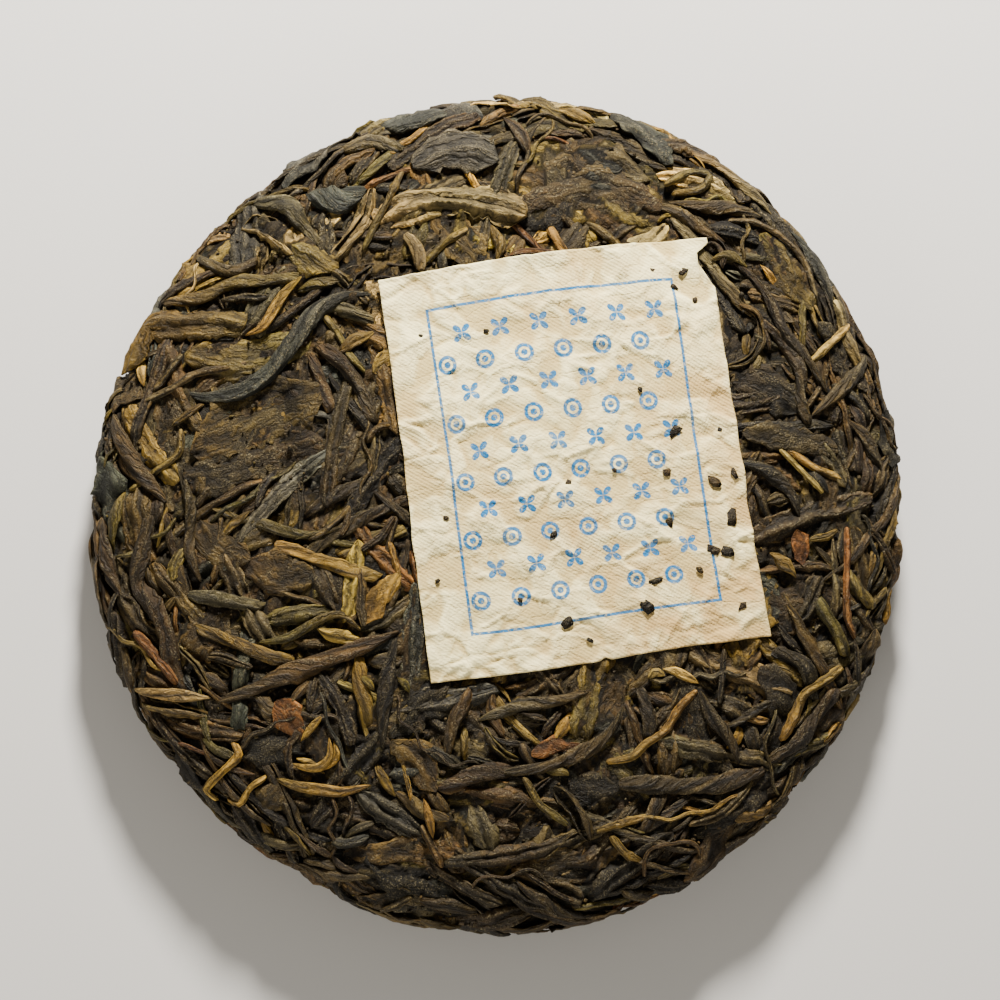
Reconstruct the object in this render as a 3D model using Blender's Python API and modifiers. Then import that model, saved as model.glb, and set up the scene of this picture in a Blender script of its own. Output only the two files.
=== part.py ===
"""A pressed pu-erh tea cake with the paper ticket pressed onto its face, as Blender solids.

Metres, +Z up. The cake lies on its back with its face and the ticket up. The origin is the middle of the
footprint, on the surface that the cake rests on. +Y is towards the top of the ticket, before its slight turn.

The cake is a disc of whole leaves, steamed, knotted into a cloth bag and pressed. Its face is a low dome, its
back is flat, and the knot of the bag has left a hollow in the middle of the back. Leaves that are rolled into
strands stand out from the pressed mass all over the face and round the rim.
"""

import math
import random

import bmesh
import bpy
from mathutils import Matrix, Vector
from mathutils.bvhtree import BVHTree

# The pressed cake, as the smooth envelope that the tops of its leaves are pressed to
CAKE_RADIUS = 0.0995
CAKE_HEIGHT = 0.0270
WAIST_HEIGHT = 0.0115  # height of the widest ring above the table
FACE_FULLNESS = 3.0  # exponent of the dome's superellipse
EDGE_FULLNESS = 2.2  # the same for the edge under the waist
BACK_FLAT_RADIUS = 0.072  # the flat ring of the back runs from the hollow out to here

# The hollow that the bag's knot leaves in the back
HOLLOW_RADIUS = 0.027
HOLLOW_DEPTH = 0.0095

# The outline is not quite round: (lobes round the circle, height in metres, direction of a crest in degrees)
OUTLINE_LOBES = ((2, 0.0017, 76.0), (3, 0.0007, 62.0), (4, 0.0005, 2.0))

# The pressed mass between the strands lies this far under the envelope
RELIEF = 0.0013
RIPPLE = 0.0005
BACK_RELIEF = 0.0008

# Mesh of the pressed mass
CORE_STEPS = 46
DOME_RINGS = 9
EDGE_RINGS = 4
HOLLOW_RINGS = 3

# Rolled leaves
STRAND_COUNT = 98
STRAND_LENGTH = (0.024, 0.050)
STRAND_WIDTH = (0.0036, 0.0060)
STRAND_POINTS = 7
STRAND_SIDES_LEVEL = 1  # six sides
STAND_OUT = 0.0007  # how far a strand may stand proud of the envelope
FACE_SPREAD = 0.126  # distance over the surface from the middle of the face to the last strands
RIM_START = 0.086  # from this distance on, strands run round the rim
CLEAR_OF_TICKET = 0.0012

# Rolled leaves on the back, where the pressing has flattened them to one level
BACK_COUNT = 34
BACK_SPREAD = 0.076
BACK_LENGTH = (0.026, 0.040)
BACK_POINTS = 5
BACK_PRESSED_IN = 0.0004

# Broad leaves that lie flat
BLADE_COUNT = 15
BLADE_LENGTH = (0.030, 0.042)
BLADE_WIDTH = (0.011, 0.016)
BLADE_THICKNESS = 0.0034

# The paper ticket
TICKET_WIDTH = 0.0825
TICKET_LENGTH = 0.0990
TICKET_CENTRE = (0.0180, 0.0139)
TICKET_TURN = math.radians(7.9)
TICKET_THICKNESS = 0.0004
TICKET_GAP = 0.0003
TICKET_WAVE = 0.00012
TICKET_REACH = 0.0027  # each point of the ticket clears what the cake has this near to it
TICKET_CELLS = (16, 19)

# Chips of leaf that stick to the ticket: (across, along) from its middle, and across the chip
TICKET_CHIPS = (
    (0.0245, 0.0012, 0.0030),
    (0.0245, -0.0165, 0.0034),
    (0.0352, -0.0085, 0.0026),
    (0.0378, -0.0158, 0.0032),
    (0.0330, -0.0235, 0.0034),
    (0.0365, -0.0243, 0.0036),
    (0.0158, -0.0350, 0.0034),
    (0.0020, -0.0390, 0.0028),
    (0.0195, -0.0298, 0.0028),
    (0.0022, -0.0090, 0.0024),
)
CHIP_STAND_OUT = 0.0003

SEED = 20
GOLDEN_ANGLE = math.pi * (3 - math.sqrt(5))
PROFILE_SAMPLES = 160

LEAF_BROWN = (0.052, 0.037, 0.021, 1.0)
PAPER_CREAM = (0.70, 0.56, 0.38, 1.0)


def plain_material(name, colour, roughness):
    material = bpy.data.materials.new(name)
    material.use_nodes = True
    shader = material.node_tree.nodes["Principled BSDF"]
    shader.inputs["Base Color"].default_value = colour
    shader.inputs["Roughness"].default_value = roughness
    shader.inputs["Metallic"].default_value = 0.0
    material.diffuse_color = colour
    return material


# Shape of the envelope


def dome_point(turn):
    """(radius, height) on the face, for turn from 0 at the middle of the face to 1 at the waist."""
    angle = turn * math.pi / 2
    power = 2 / FACE_FULLNESS
    return (
        CAKE_RADIUS * math.sin(angle) ** power,
        WAIST_HEIGHT + (CAKE_HEIGHT - WAIST_HEIGHT) * max(0.0, math.cos(angle)) ** power,
    )


def edge_point(turn):
    """(radius, height) under the waist, for turn from 0 at the waist to 1 where the flat back starts."""
    angle = turn * math.pi / 2
    power = 2 / EDGE_FULLNESS
    overhang = CAKE_RADIUS - BACK_FLAT_RADIUS
    return (
        BACK_FLAT_RADIUS + overhang * max(0.0, math.cos(angle)) ** power,
        WAIST_HEIGHT * (1 - math.sin(angle) ** power),
    )


def hollow_point(turn):
    """(radius, height) in the hollow of the back, for turn from 0 at its lip to 1 in its middle."""
    return HOLLOW_RADIUS * (1 - turn), HOLLOW_DEPTH * (1 - math.cos(math.pi * turn)) / 2


def measured_profile():
    """The envelope from the middle of the face to the start of the flat back, as (distance, radius, height)."""
    points = [dome_point(i / PROFILE_SAMPLES) for i in range(PROFILE_SAMPLES + 1)]
    points += [edge_point(i / PROFILE_SAMPLES) for i in range(1, PROFILE_SAMPLES + 1)]
    rows, distance, last = [], 0.0, points[0]
    for point in points:
        distance += math.dist(last, point)
        rows.append((distance, *point))
        last = point
    return rows


PROFILE = measured_profile()


def lobe(angle):
    """How far the outline stands out from its circle in this direction."""
    return sum(height * math.cos(count * (angle - math.radians(crest))) for count, height, crest in OUTLINE_LOBES)


def envelope(across, along):
    """The point of the envelope at these distances over the surface from the middle of the face."""
    distance = math.hypot(across, along)
    angle = math.atan2(along, across)
    row = next((i for i, item in enumerate(PROFILE) if item[0] >= distance), len(PROFILE) - 1)
    before, after = PROFILE[max(0, row - 1)], PROFILE[row]
    share = (distance - before[0]) / max(1e-9, after[0] - before[0])
    radius = before[1] + (after[1] - before[1]) * share
    height = before[2] + (after[2] - before[2]) * share
    radius *= 1 + lobe(angle) / CAKE_RADIUS
    return Vector((radius * math.cos(angle), radius * math.sin(angle), height))


def envelope_normal(across, along):
    step = 0.0008
    one = envelope(across + step, along) - envelope(across - step, along)
    other = envelope(across, along + step) - envelope(across, along - step)
    return one.cross(other).normalized()


def ripple(x, y):
    """The unevenness of the pressed mass, from crossing waves."""
    return RIPPLE * (
        math.sin(x * 190 + 1.1)
        + math.sin(y * 230 + x * 60 + 0.4)
        + 0.7 * math.sin((x + y) * 330 + 2.0)
        + 0.7 * math.sin((x - 0.6 * y) * 410 + 0.9)
    )


# The pressed mass


def core_profile(mesh):
    """The half section of the cake from the middle of the face to the middle of the hollow, as vertices."""
    points = [dome_point(i / DOME_RINGS) for i in range(DOME_RINGS + 1)]
    points += [edge_point(i / EDGE_RINGS) for i in range(1, EDGE_RINGS + 1)]
    points.append(((BACK_FLAT_RADIUS + HOLLOW_RADIUS) / 2, 0.0))
    points += [hollow_point(i / HOLLOW_RINGS) for i in range(HOLLOW_RINGS + 1)]
    section = bmesh.new()
    ring = [section.verts.new((radius, 0.0, height)) for radius, height in points]
    for one, other in zip(ring, ring[1:]):
        section.edges.new((one, other))
    section.to_mesh(mesh)
    section.free()


def shape_core(mesh):
    """Gives the turned disc its uneven outline, and sinks all but the flat back under the envelope."""
    for vertex in mesh.vertices:
        x, y, z = vertex.co
        angle = math.atan2(y, x)
        radius = math.hypot(x, y)
        raised = min(1.0, z / WAIST_HEIGHT) if radius > HOLLOW_RADIUS + 0.001 or z > WAIST_HEIGHT else 0.0
        outward = Vector((math.cos(angle), math.sin(angle), 0.0))
        slope = min(1.0, (radius / CAKE_RADIUS) ** FACE_FULLNESS)
        inward = outward * slope + Vector((0.0, 0.0, 1.0 - slope * slope))
        moved = outward * radius * (1 + lobe(angle) / CAKE_RADIUS)
        moved.z = z + (BACK_RELIEF if z < 0.0001 else 0.0)
        vertex.co = moved - inward * raised * (RELIEF - ripple(moved.x, moved.y))


def build_core(material):
    mesh = bpy.data.meshes.new("pressed_mass")
    core_profile(mesh)
    turned = bpy.data.objects.new("pressed_mass", mesh)
    bpy.context.collection.objects.link(turned)
    screw = turned.modifiers.new("turn", "SCREW")
    screw.steps = screw.render_steps = CORE_STEPS
    screw.use_merge_vertices = True
    screw.merge_threshold = 0.00005
    core = as_mesh(turned, "tea_cake")
    shape_core(core.data)
    core.data.materials.append(material)
    return core


def as_mesh(source, name):
    """A mesh object made from what source shows, with its doubled vertices merged. Source is removed."""
    graph = bpy.context.evaluated_depsgraph_get()
    graph.update()
    mesh = bpy.data.meshes.new_from_object(source.evaluated_get(graph))
    welded = bmesh.new()
    welded.from_mesh(mesh)
    bmesh.ops.remove_doubles(welded, verts=welded.verts, dist=0.00002)
    bmesh.ops.recalc_face_normals(welded, faces=welded.faces)
    welded.to_mesh(mesh)
    welded.free()
    made = bpy.data.objects.new(name, mesh)
    made.matrix_world = source.matrix_world
    bpy.context.collection.objects.link(made)
    bpy.data.objects.remove(source)
    return made


# Leaves


def in_ticket(point, margin):
    """True if a point of the face lies under the ticket, or this near to it."""
    x, y = point.x - TICKET_CENTRE[0], point.y - TICKET_CENTRE[1]
    across = x * math.cos(TICKET_TURN) + y * math.sin(TICKET_TURN)
    along = y * math.cos(TICKET_TURN) - x * math.sin(TICKET_TURN)
    return abs(across) < TICKET_WIDTH / 2 + margin and abs(along) < TICKET_LENGTH / 2 + margin


def longest_clear_run(path, width):
    """The longest stretch of the path that keeps clear of the ticket."""
    best, run = [], []
    for point in path:
        if in_ticket(envelope(*point), width / 2 + CLEAR_OF_TICKET):
            run = []
            continue
        run.append(point)
        if len(run) > len(best):
            best = list(run)
    return best


def strand_route(draw, index):
    """The middle line of one rolled leaf, as places on the surface: even spacing from a sunflower spiral."""
    distance = FACE_SPREAD * math.sqrt((index + 0.5) / STRAND_COUNT)
    angle = index * GOLDEN_ANGLE
    length = draw.uniform(*STRAND_LENGTH)
    swing = 0.22 if distance > RIM_START else 1.1
    heading = angle + math.pi / 2 + draw.uniform(-swing, swing)
    bend = draw.uniform(-0.20, 0.20)
    middle = Vector((math.cos(angle), math.sin(angle))) * distance
    ahead = Vector((math.cos(heading), math.sin(heading)))
    side = Vector((-ahead.y, ahead.x))
    follow = length * length / (8 * distance) if distance > RIM_START else 0.0
    route = []
    for i in range(STRAND_POINTS):
        t = 2 * i / (STRAND_POINTS - 1) - 1
        bow = bend * length * (t * t - 0.33) / 2 + follow * t * t
        route.append(middle + ahead * (t * length / 2) + side * bow)
    return route


def tube(name, path, width):
    """A tube along the path that tapers towards both of its ends."""
    curve = bpy.data.curves.new(name, "CURVE")
    curve.dimensions = "3D"
    curve.bevel_depth = width / 2
    curve.bevel_resolution = STRAND_SIDES_LEVEL
    curve.use_fill_caps = True
    spline = curve.splines.new("POLY")
    spline.points.add(len(path) - 1)
    for i, (point, place) in enumerate(zip(spline.points, path)):
        point.co = (*place, 1.0)
        point.radius = taper(i, len(path))
    made = bpy.data.objects.new(name, curve)
    bpy.context.collection.objects.link(made)
    return as_mesh(made, name)


def taper(i, count):
    """How thick a rolled leaf is at one of its points, as a share of its middle."""
    return 1 - 0.55 * abs(2 * i / (count - 1) - 1) ** 2.5


def face_path(places, width, stand_out):
    """The middle line of a strand whose top stands this far out, with its ends in the pressed mass."""
    path = []
    for i, place in enumerate(places):
        t = 2 * i / (len(places) - 1) - 1
        sink = width / 2 * taper(i, len(places)) - stand_out + 0.0009 * t * t
        path.append(envelope(*place) - envelope_normal(*place) * sink)
    return path


def build_strands(draw):
    strands = []
    for index in range(STRAND_COUNT):
        route = strand_route(draw, index)
        width = draw.uniform(*STRAND_WIDTH)
        stand_out = draw.uniform(0.2, 1.0) * STAND_OUT
        places = longest_clear_run(route, width)
        if len(places) < STRAND_POINTS // 2 + 1:
            continue
        strands.append(tube(f"strand_{index:03d}", face_path(places, width, stand_out), width))
    return strands


def flattened(strand):
    """Presses what reaches under the surface of the back up to it, as flat lands to rest on."""
    for vertex in strand.data.vertices:
        vertex.co.z = max(0.0, vertex.co.z)
    return strand


def build_back_strands(draw):
    strands = []
    for index in range(BACK_COUNT):
        distance = BACK_SPREAD * math.sqrt((index + 0.5) / BACK_COUNT)
        angle = index * GOLDEN_ANGLE + 0.3
        heading = angle + math.pi / 2 + draw.uniform(-0.6, 0.6)
        length, width = draw.uniform(*BACK_LENGTH), draw.uniform(*STRAND_WIDTH)
        middle = Vector((math.cos(angle), math.sin(angle))) * distance
        ahead = Vector((math.cos(heading), math.sin(heading)))
        route = [middle + ahead * length * (i / (BACK_POINTS - 1) - 0.5) for i in range(BACK_POINTS)]
        if min(place.length for place in route) < HOLLOW_RADIUS + width:
            continue
        if max(place.length for place in route) > BACK_SPREAD:
            continue
        path = [(place.x, place.y, width / 2 - BACK_PRESSED_IN) for place in route]
        strands.append(flattened(tube(f"back_strand_{index:03d}", path, width)))
    return strands


def build_blade(name, place, heading, length, width):
    """A broad leaf pressed flat, as a low lens that follows the surface."""
    normal = envelope_normal(*place)
    ahead = Vector((math.cos(heading), math.sin(heading), 0.0))
    ahead = (ahead - normal * ahead.dot(normal)).normalized()
    lens = bmesh.new()
    bmesh.ops.create_uvsphere(lens, u_segments=12, v_segments=6, radius=0.5)
    bmesh.ops.scale(lens, vec=(length, width, BLADE_THICKNESS), verts=lens.verts)
    turn = Matrix((ahead, normal.cross(ahead), normal)).transposed().to_4x4()
    bmesh.ops.transform(lens, matrix=turn, verts=lens.verts)
    centre = envelope(*place) - normal * (BLADE_THICKNESS / 2)
    bmesh.ops.translate(lens, vec=centre, verts=lens.verts)
    mesh = bpy.data.meshes.new(name)
    lens.to_mesh(mesh)
    lens.free()
    made = bpy.data.objects.new(name, mesh)
    bpy.context.collection.objects.link(made)
    return made


def build_blades(draw):
    blades = []
    for index in range(BLADE_COUNT):
        distance = RIM_START * math.sqrt((index + 0.5) / BLADE_COUNT)
        angle = index * GOLDEN_ANGLE + 0.8
        place = (distance * math.cos(angle), distance * math.sin(angle))
        heading = angle + math.pi / 2 + draw.uniform(-0.7, 0.7)
        length, width = draw.uniform(*BLADE_LENGTH), draw.uniform(*BLADE_WIDTH)
        if in_ticket(envelope(*place), length / 2):
            continue
        blades.append(build_blade(f"blade_{index:03d}", place, heading, length, width))
    return blades


def fuse(body, pieces):
    """Joins the pieces to the body by one Boolean union, and keeps the outer skin alone."""
    group = bpy.data.collections.new("pieces")
    for piece in pieces:
        for holder in list(piece.users_collection):
            holder.objects.unlink(piece)
        group.objects.link(piece)
    bpy.context.scene.collection.children.link(group)
    union = body.modifiers.new("union", "BOOLEAN")
    union.operation = "UNION"
    union.operand_type = "COLLECTION"
    union.collection = group
    union.solver = "MANIFOLD"
    graph = bpy.context.evaluated_depsgraph_get()
    graph.update()
    mesh = bpy.data.meshes.new_from_object(body.evaluated_get(graph))
    body.modifiers.clear()
    for piece in pieces:
        bpy.data.objects.remove(piece)
    bpy.data.collections.remove(group)
    body.data = mesh
    keep_outer_skin(mesh)


def keep_outer_skin(mesh):
    """Fills any hollow that the fusing sealed and drops loose scraps, by keeping the largest skin."""
    skin = bmesh.new()
    skin.from_mesh(mesh)
    bmesh.ops.triangulate(skin, faces=skin.faces)
    left, groups = set(skin.verts), []
    while left:
        front = [left.pop()]
        found = set(front)
        while front:
            vertex = front.pop()
            for edge in vertex.link_edges:
                other = edge.other_vert(vertex)
                if other in left:
                    left.discard(other)
                    found.add(other)
                    front.append(other)
        groups.append(found)
    groups.sort(key=len, reverse=True)
    for group in groups[1:]:
        bmesh.ops.delete(skin, geom=list(group), context="VERTS")
    skin.to_mesh(mesh)
    skin.free()


# The paper ticket


class Bed:
    """The top of the pressed cake, on which the ticket lies."""

    def __init__(self, cake):
        skin = bmesh.new()
        skin.from_mesh(cake.data)
        self.tree = BVHTree.FromBMesh(skin)
        skin.free()

    def height(self, x, y):
        hit = self.tree.ray_cast(Vector((x, y, 2 * CAKE_HEIGHT)), Vector((0.0, 0.0, -1.0)))[0]
        return hit.z if hit else 0.0

    def crest(self, x, y, reach):
        """The highest point of the cake this near to a place."""
        steps = (-1.0, -0.5, 0.0, 0.5, 1.0)
        return max(self.height(x + reach * i, y + reach * j) for i in steps for j in steps)


def ticket_place(across, along):
    """A point over the ticket's place, from distances across and along it from its middle."""
    x = TICKET_CENTRE[0] + across * math.cos(TICKET_TURN) - along * math.sin(TICKET_TURN)
    y = TICKET_CENTRE[1] + across * math.sin(TICKET_TURN) + along * math.cos(TICKET_TURN)
    return x, y


def ticket_point(bed, across, along):
    """A point of the ticket's underside."""
    x, y = ticket_place(across, along)
    wave = math.sin(x * 520 + y * 140) + math.sin(y * 640 - x * 90 + 1.3)
    return Vector((x, y, bed.crest(x, y, TICKET_REACH) + TICKET_GAP + TICKET_WAVE * (2 + wave)))


def build_chip(bed, name, across, along, size):
    """A chip of leaf, as a low six-sided cone that stands in the paper."""
    chip = bmesh.new()
    tall = CHIP_STAND_OUT + TICKET_THICKNESS / 2
    bmesh.ops.create_cone(chip, cap_ends=True, segments=6, radius1=size / 2, radius2=size / 3, depth=tall)
    bmesh.ops.scale(chip, vec=(1.0, 0.75, 1.0), verts=chip.verts)
    foot = ticket_point(bed, across, along)
    lift = Vector((0.0, 0.0, TICKET_THICKNESS / 2 + tall / 2))
    bmesh.ops.translate(chip, vec=foot + lift, verts=chip.verts)
    mesh = bpy.data.meshes.new(name)
    chip.to_mesh(mesh)
    chip.free()
    made = bpy.data.objects.new(name, mesh)
    bpy.context.collection.objects.link(made)
    return made


def build_ticket(cake, material):
    """A wavy sheet of paper with chips of leaf on it, both of its faces split into triangles alike."""
    bpy.ops.mesh.primitive_grid_add(x_subdivisions=TICKET_CELLS[0], y_subdivisions=TICKET_CELLS[1], size=1.0)
    sheet = bpy.context.object
    bed = Bed(cake)
    for vertex in sheet.data.vertices:
        vertex.co = ticket_point(bed, vertex.co.x * TICKET_WIDTH, vertex.co.y * TICKET_LENGTH)
    flat = bmesh.new()
    flat.from_mesh(sheet.data)
    bmesh.ops.triangulate(flat, faces=flat.faces)
    flat.to_mesh(sheet.data)
    flat.free()
    thickness = sheet.modifiers.new("paper", "SOLIDIFY")
    thickness.thickness = TICKET_THICKNESS
    thickness.offset = 1.0
    ticket = as_mesh(sheet, "inner_ticket")
    chips = [build_chip(bed, f"chip_{i}", *chip) for i, chip in enumerate(TICKET_CHIPS)]
    fuse(ticket, chips)
    ticket.data.materials.clear()
    ticket.data.materials.append(material)
    return ticket


def rest_on_origin(objects):
    """Moves the whole so that the middle of its footprint is the origin."""
    points = [vertex.co for item in objects for vertex in item.data.vertices]
    middle_x = (min(p.x for p in points) + max(p.x for p in points)) / 2
    middle_y = (min(p.y for p in points) + max(p.y for p in points)) / 2
    lowest = min(p.z for p in points)
    for item in objects:
        item.data.transform(Matrix.Translation((-middle_x, -middle_y, -lowest)))


def main():
    for item in list(bpy.data.objects):
        bpy.data.objects.remove(item)
    draw = random.Random(SEED)
    cake = build_core(plain_material("pressed_tea", LEAF_BROWN, 0.7))
    fuse(cake, build_strands(draw) + build_blades(draw) + build_back_strands(draw))
    cake.data.materials.clear()
    cake.data.materials.append(bpy.data.materials["pressed_tea"])
    ticket = build_ticket(cake, plain_material("ticket_paper", PAPER_CREAM, 0.9))
    rest_on_origin([cake, ticket])


main()
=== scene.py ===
# %% [markdown]
# # A pressed tea cake
#
# The object is a disc of whole tea leaves. The leaves were rolled and dried, then steamed until they were
# soft, knotted into a cloth bag and pressed under a stone. A paper ticket was laid on them before the
# pressing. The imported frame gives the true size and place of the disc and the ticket. Each of them is
# rebuilt here out of what it is made of: about 1,300 separate leaves and bits over a mass of flattened
# scraps, and a creased sheet of paper.

import math

import bmesh
import bpy
import numpy as np
from mathutils import Matrix, Vector


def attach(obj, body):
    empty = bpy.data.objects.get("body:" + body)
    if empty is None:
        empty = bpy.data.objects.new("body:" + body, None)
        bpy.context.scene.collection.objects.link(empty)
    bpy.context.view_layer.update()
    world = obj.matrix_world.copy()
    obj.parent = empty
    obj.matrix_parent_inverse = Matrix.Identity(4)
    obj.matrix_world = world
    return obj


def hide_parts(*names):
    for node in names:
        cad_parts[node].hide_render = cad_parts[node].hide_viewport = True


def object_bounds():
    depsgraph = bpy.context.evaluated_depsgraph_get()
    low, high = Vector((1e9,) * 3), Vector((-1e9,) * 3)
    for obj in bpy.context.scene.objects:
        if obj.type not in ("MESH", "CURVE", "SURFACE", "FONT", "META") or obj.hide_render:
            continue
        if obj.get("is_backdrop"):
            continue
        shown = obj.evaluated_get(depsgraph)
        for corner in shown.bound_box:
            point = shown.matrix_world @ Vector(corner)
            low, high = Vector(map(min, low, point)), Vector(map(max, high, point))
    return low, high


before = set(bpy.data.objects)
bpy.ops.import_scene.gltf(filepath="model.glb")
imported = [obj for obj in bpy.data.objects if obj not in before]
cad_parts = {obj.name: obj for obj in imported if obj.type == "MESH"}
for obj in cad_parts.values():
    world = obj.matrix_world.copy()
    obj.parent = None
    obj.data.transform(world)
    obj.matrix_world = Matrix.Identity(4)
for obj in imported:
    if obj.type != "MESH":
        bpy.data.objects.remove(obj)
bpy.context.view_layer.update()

# %% [markdown]
# ## The pressed envelope
#
# A cloth bag pulled tight over wet leaves gives one smooth skin that every leaf top is pressed against.
# That skin is a section turned about the middle: a low dome, a round edge, a flat back, and the hollow that
# the bag's knot leaves in the back. It could be a mesh to shrink things onto. A table of the section by arc
# length is simpler, because a leaf can then be laid at any distance over the surface and at any depth under
# it.

# %% The section by arc length
MM = 0.001
CAKE_RADIUS = 99.5 * MM
CAKE_HEIGHT = 27.0 * MM
WAIST_HEIGHT = 11.5 * MM
FACE_FULLNESS = 3.0
EDGE_FULLNESS = 2.2
BACK_FLAT_RADIUS = 72 * MM
HOLLOW_RADIUS = 27 * MM
HOLLOW_DEPTH = 9.5 * MM
CAKE_MIDDLE = np.array((1.09, 0.69)) * MM  # the axis of the disc in the frame
OUTLINE_LOBES = ((2, 2.1, 72.4), (3, 0.7, 62.0), (4, 0.5, 2.0))  # (lobes, height in mm, direction of a crest)
TABLE_STEP = 0.25 * MM


def section_table():
    """Arc length, radius, height and outward normal along the half section, at even steps."""
    turn = np.linspace(0, math.pi / 2, 900)
    power = 2 / FACE_FULLNESS
    sine, cosine = np.sin(turn), np.maximum(np.cos(turn), 0)
    parts = [(CAKE_RADIUS * sine**power, WAIST_HEIGHT + (CAKE_HEIGHT - WAIST_HEIGHT) * cosine**power)]
    power = 2 / EDGE_FULLNESS
    overhang = CAKE_RADIUS - BACK_FLAT_RADIUS
    parts.append((BACK_FLAT_RADIUS + overhang * cosine**power, WAIST_HEIGHT * (1 - sine**power)))
    parts.append((np.linspace(BACK_FLAT_RADIUS, HOLLOW_RADIUS, 60), np.zeros(60)))
    turn = np.linspace(0, 1, 60)
    parts.append((HOLLOW_RADIUS * (1 - turn), HOLLOW_DEPTH * (1 - np.cos(math.pi * turn)) / 2))
    radius, height = (np.concatenate(p) for p in zip(*parts))
    length = np.concatenate(([0], np.cumsum(np.hypot(np.diff(radius), np.diff(height)))))
    keep = np.concatenate(([True], np.diff(length) > 1e-9))
    even = np.arange(0, length[-1], TABLE_STEP)
    radius = np.interp(even, length[keep], radius[keep])
    height = np.interp(even, length[keep], height[keep])
    blur = np.hanning(13) / np.hanning(13).sum()
    slope_r = np.convolve(np.pad(np.gradient(radius, TABLE_STEP), 6, "edge"), blur, "valid")
    slope_z = np.convolve(np.pad(np.gradient(height, TABLE_STEP), 6, "edge"), blur, "valid")
    size = np.hypot(slope_r, slope_z)
    return even, radius, height, -slope_z / size, slope_r / size


ARC, ARC_R, ARC_Z, ARC_NR, ARC_NZ = section_table()
ARC_END = ARC[-1]
ARC_WAIST = ARC[np.argmax(ARC_R)]


def lobes(angle):
    """How far the outline stands out from its circle in a direction, as a share of the radius."""
    return sum(h * MM * np.cos(n * (angle - math.radians(c))) for n, h, c in OUTLINE_LOBES) / CAKE_RADIUS


def skin(arc, angle, depth=0.0):
    """Points under the envelope, and the outward normals there."""
    arc = np.clip(arc, 0, ARC_END)
    out_r, out_z = np.interp(arc, ARC, ARC_NR), np.interp(arc, ARC, ARC_NZ)
    radius = np.interp(arc, ARC, ARC_R) * (1 + lobes(angle)) - depth * out_r
    height = np.interp(arc, ARC, ARC_Z) - depth * out_z
    cosine, sine = np.cos(angle), np.sin(angle)
    point = np.stack((CAKE_MIDDLE[0] + radius * cosine, CAKE_MIDDLE[1] + radius * sine, height), -1)
    return point, np.stack((out_r * cosine, out_r * sine, out_z + 0 * cosine), -1)


print("arc over the face", round(ARC_WAIST / MM), "mm, whole arc", round(ARC_END / MM), "mm")

# %% [markdown]
# ## The camera
#
# The photograph looks at the face almost square on, from a little below and to the left of its middle. The
# cake lies flat here, so the camera hangs above it. It comes first because it also gives places: a point of
# the photograph is a ray, and where the ray meets the envelope is where a leaf goes.

# %% Camera
PHOTO_SIZE = 1000
PHOTO_CENTRE = (502.0, 510.5)  # the middle of the cake's outline in the photograph
VIEW_DISTANCE = 0.80
VIEW_TILT = math.radians(6.0)  # towards the bottom edge of the face
VIEW_TURN = math.radians(4.0)  # towards its left edge
PIXEL = 0.2416 * MM
AIM_HEIGHT = 14 * MM

camera = bpy.data.objects.new("camera", bpy.data.cameras.new("camera"))
bpy.context.scene.collection.objects.link(camera)
bpy.context.scene.camera = camera
view_back = Vector((-math.sin(VIEW_TURN), -math.sin(VIEW_TILT), 1.0)).normalized()
aim = Vector((CAKE_MIDDLE[0], CAKE_MIDDLE[1], AIM_HEIGHT))
view_right = Vector((0, 1, 0)).cross(view_back).normalized()
view_up = view_back.cross(view_right)
camera.rotation_euler = Matrix((view_right, view_up, view_back)).transposed().to_euler()
camera.location = aim + view_back * VIEW_DISTANCE
camera.data.sensor_width = 36
camera.data.lens = 36 * VIEW_DISTANCE / (PHOTO_SIZE * PIXEL)
camera.data.shift_x = (PHOTO_SIZE / 2 - PHOTO_CENTRE[0]) / PHOTO_SIZE
camera.data.shift_y = (PHOTO_CENTRE[1] - PHOTO_SIZE / 2) / PHOTO_SIZE
bpy.context.view_layer.update()
turn_matrix = np.array(camera.matrix_world.to_3x3())
RIM_LIMIT = 0.985


def seen_at(across, down):
    """(arc, angle) on the envelope of the point that the photograph shows at these pixels."""
    ray = np.array((across - PHOTO_CENTRE[0], PHOTO_CENTRE[1] - down, 0.0)) * PIXEL
    ray[2] = -VIEW_DISTANCE
    ray = turn_matrix @ ray
    start = np.array(camera.location)
    height = 24 * MM
    for _ in range(12):
        place = start + ray * ((height - start[2]) / ray[2])
        x, y = place[:2] - CAKE_MIDDLE
        angle = math.atan2(y, x)
        radius = min(math.hypot(x, y) / (1 + lobes(angle)), CAKE_RADIUS * RIM_LIMIT)
        dome = (1 - (radius / CAKE_RADIUS) ** FACE_FULLNESS) ** (1 / FACE_FULLNESS)
        height += 0.6 * (WAIST_HEIGHT + (CAKE_HEIGHT - WAIST_HEIGHT) * dome - height)
    waist = int(ARC_WAIST / TABLE_STEP) + 1
    return float(np.interp(radius, ARC_R[:waist], ARC[:waist])), angle


print("camera at", [round(n, 3) for n in camera.location], "lens", round(camera.data.lens, 1))

# %% [markdown]
# ## Layers
#
# In a pressed cake the leaves don't lie at random: each one bends over what is under it, and the top one of
# a stack is pushed level with the skin. Dropping a thousand soft bodies would take hours. Working from the
# top down gives the same end state: a leaf is put in at skin level, and where something already lies there
# it has to pass below it. Two maps of the surface keep, for each half millimetre, how deep the lowest leaf
# so far reaches. One map is centred on the face and the other on the back, and they overlap round the edge.

# %% Maps of what lies where
CELL = 0.5 * MM
FACE_REACH = 152 * MM
BACK_REACH = 118 * MM


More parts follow.
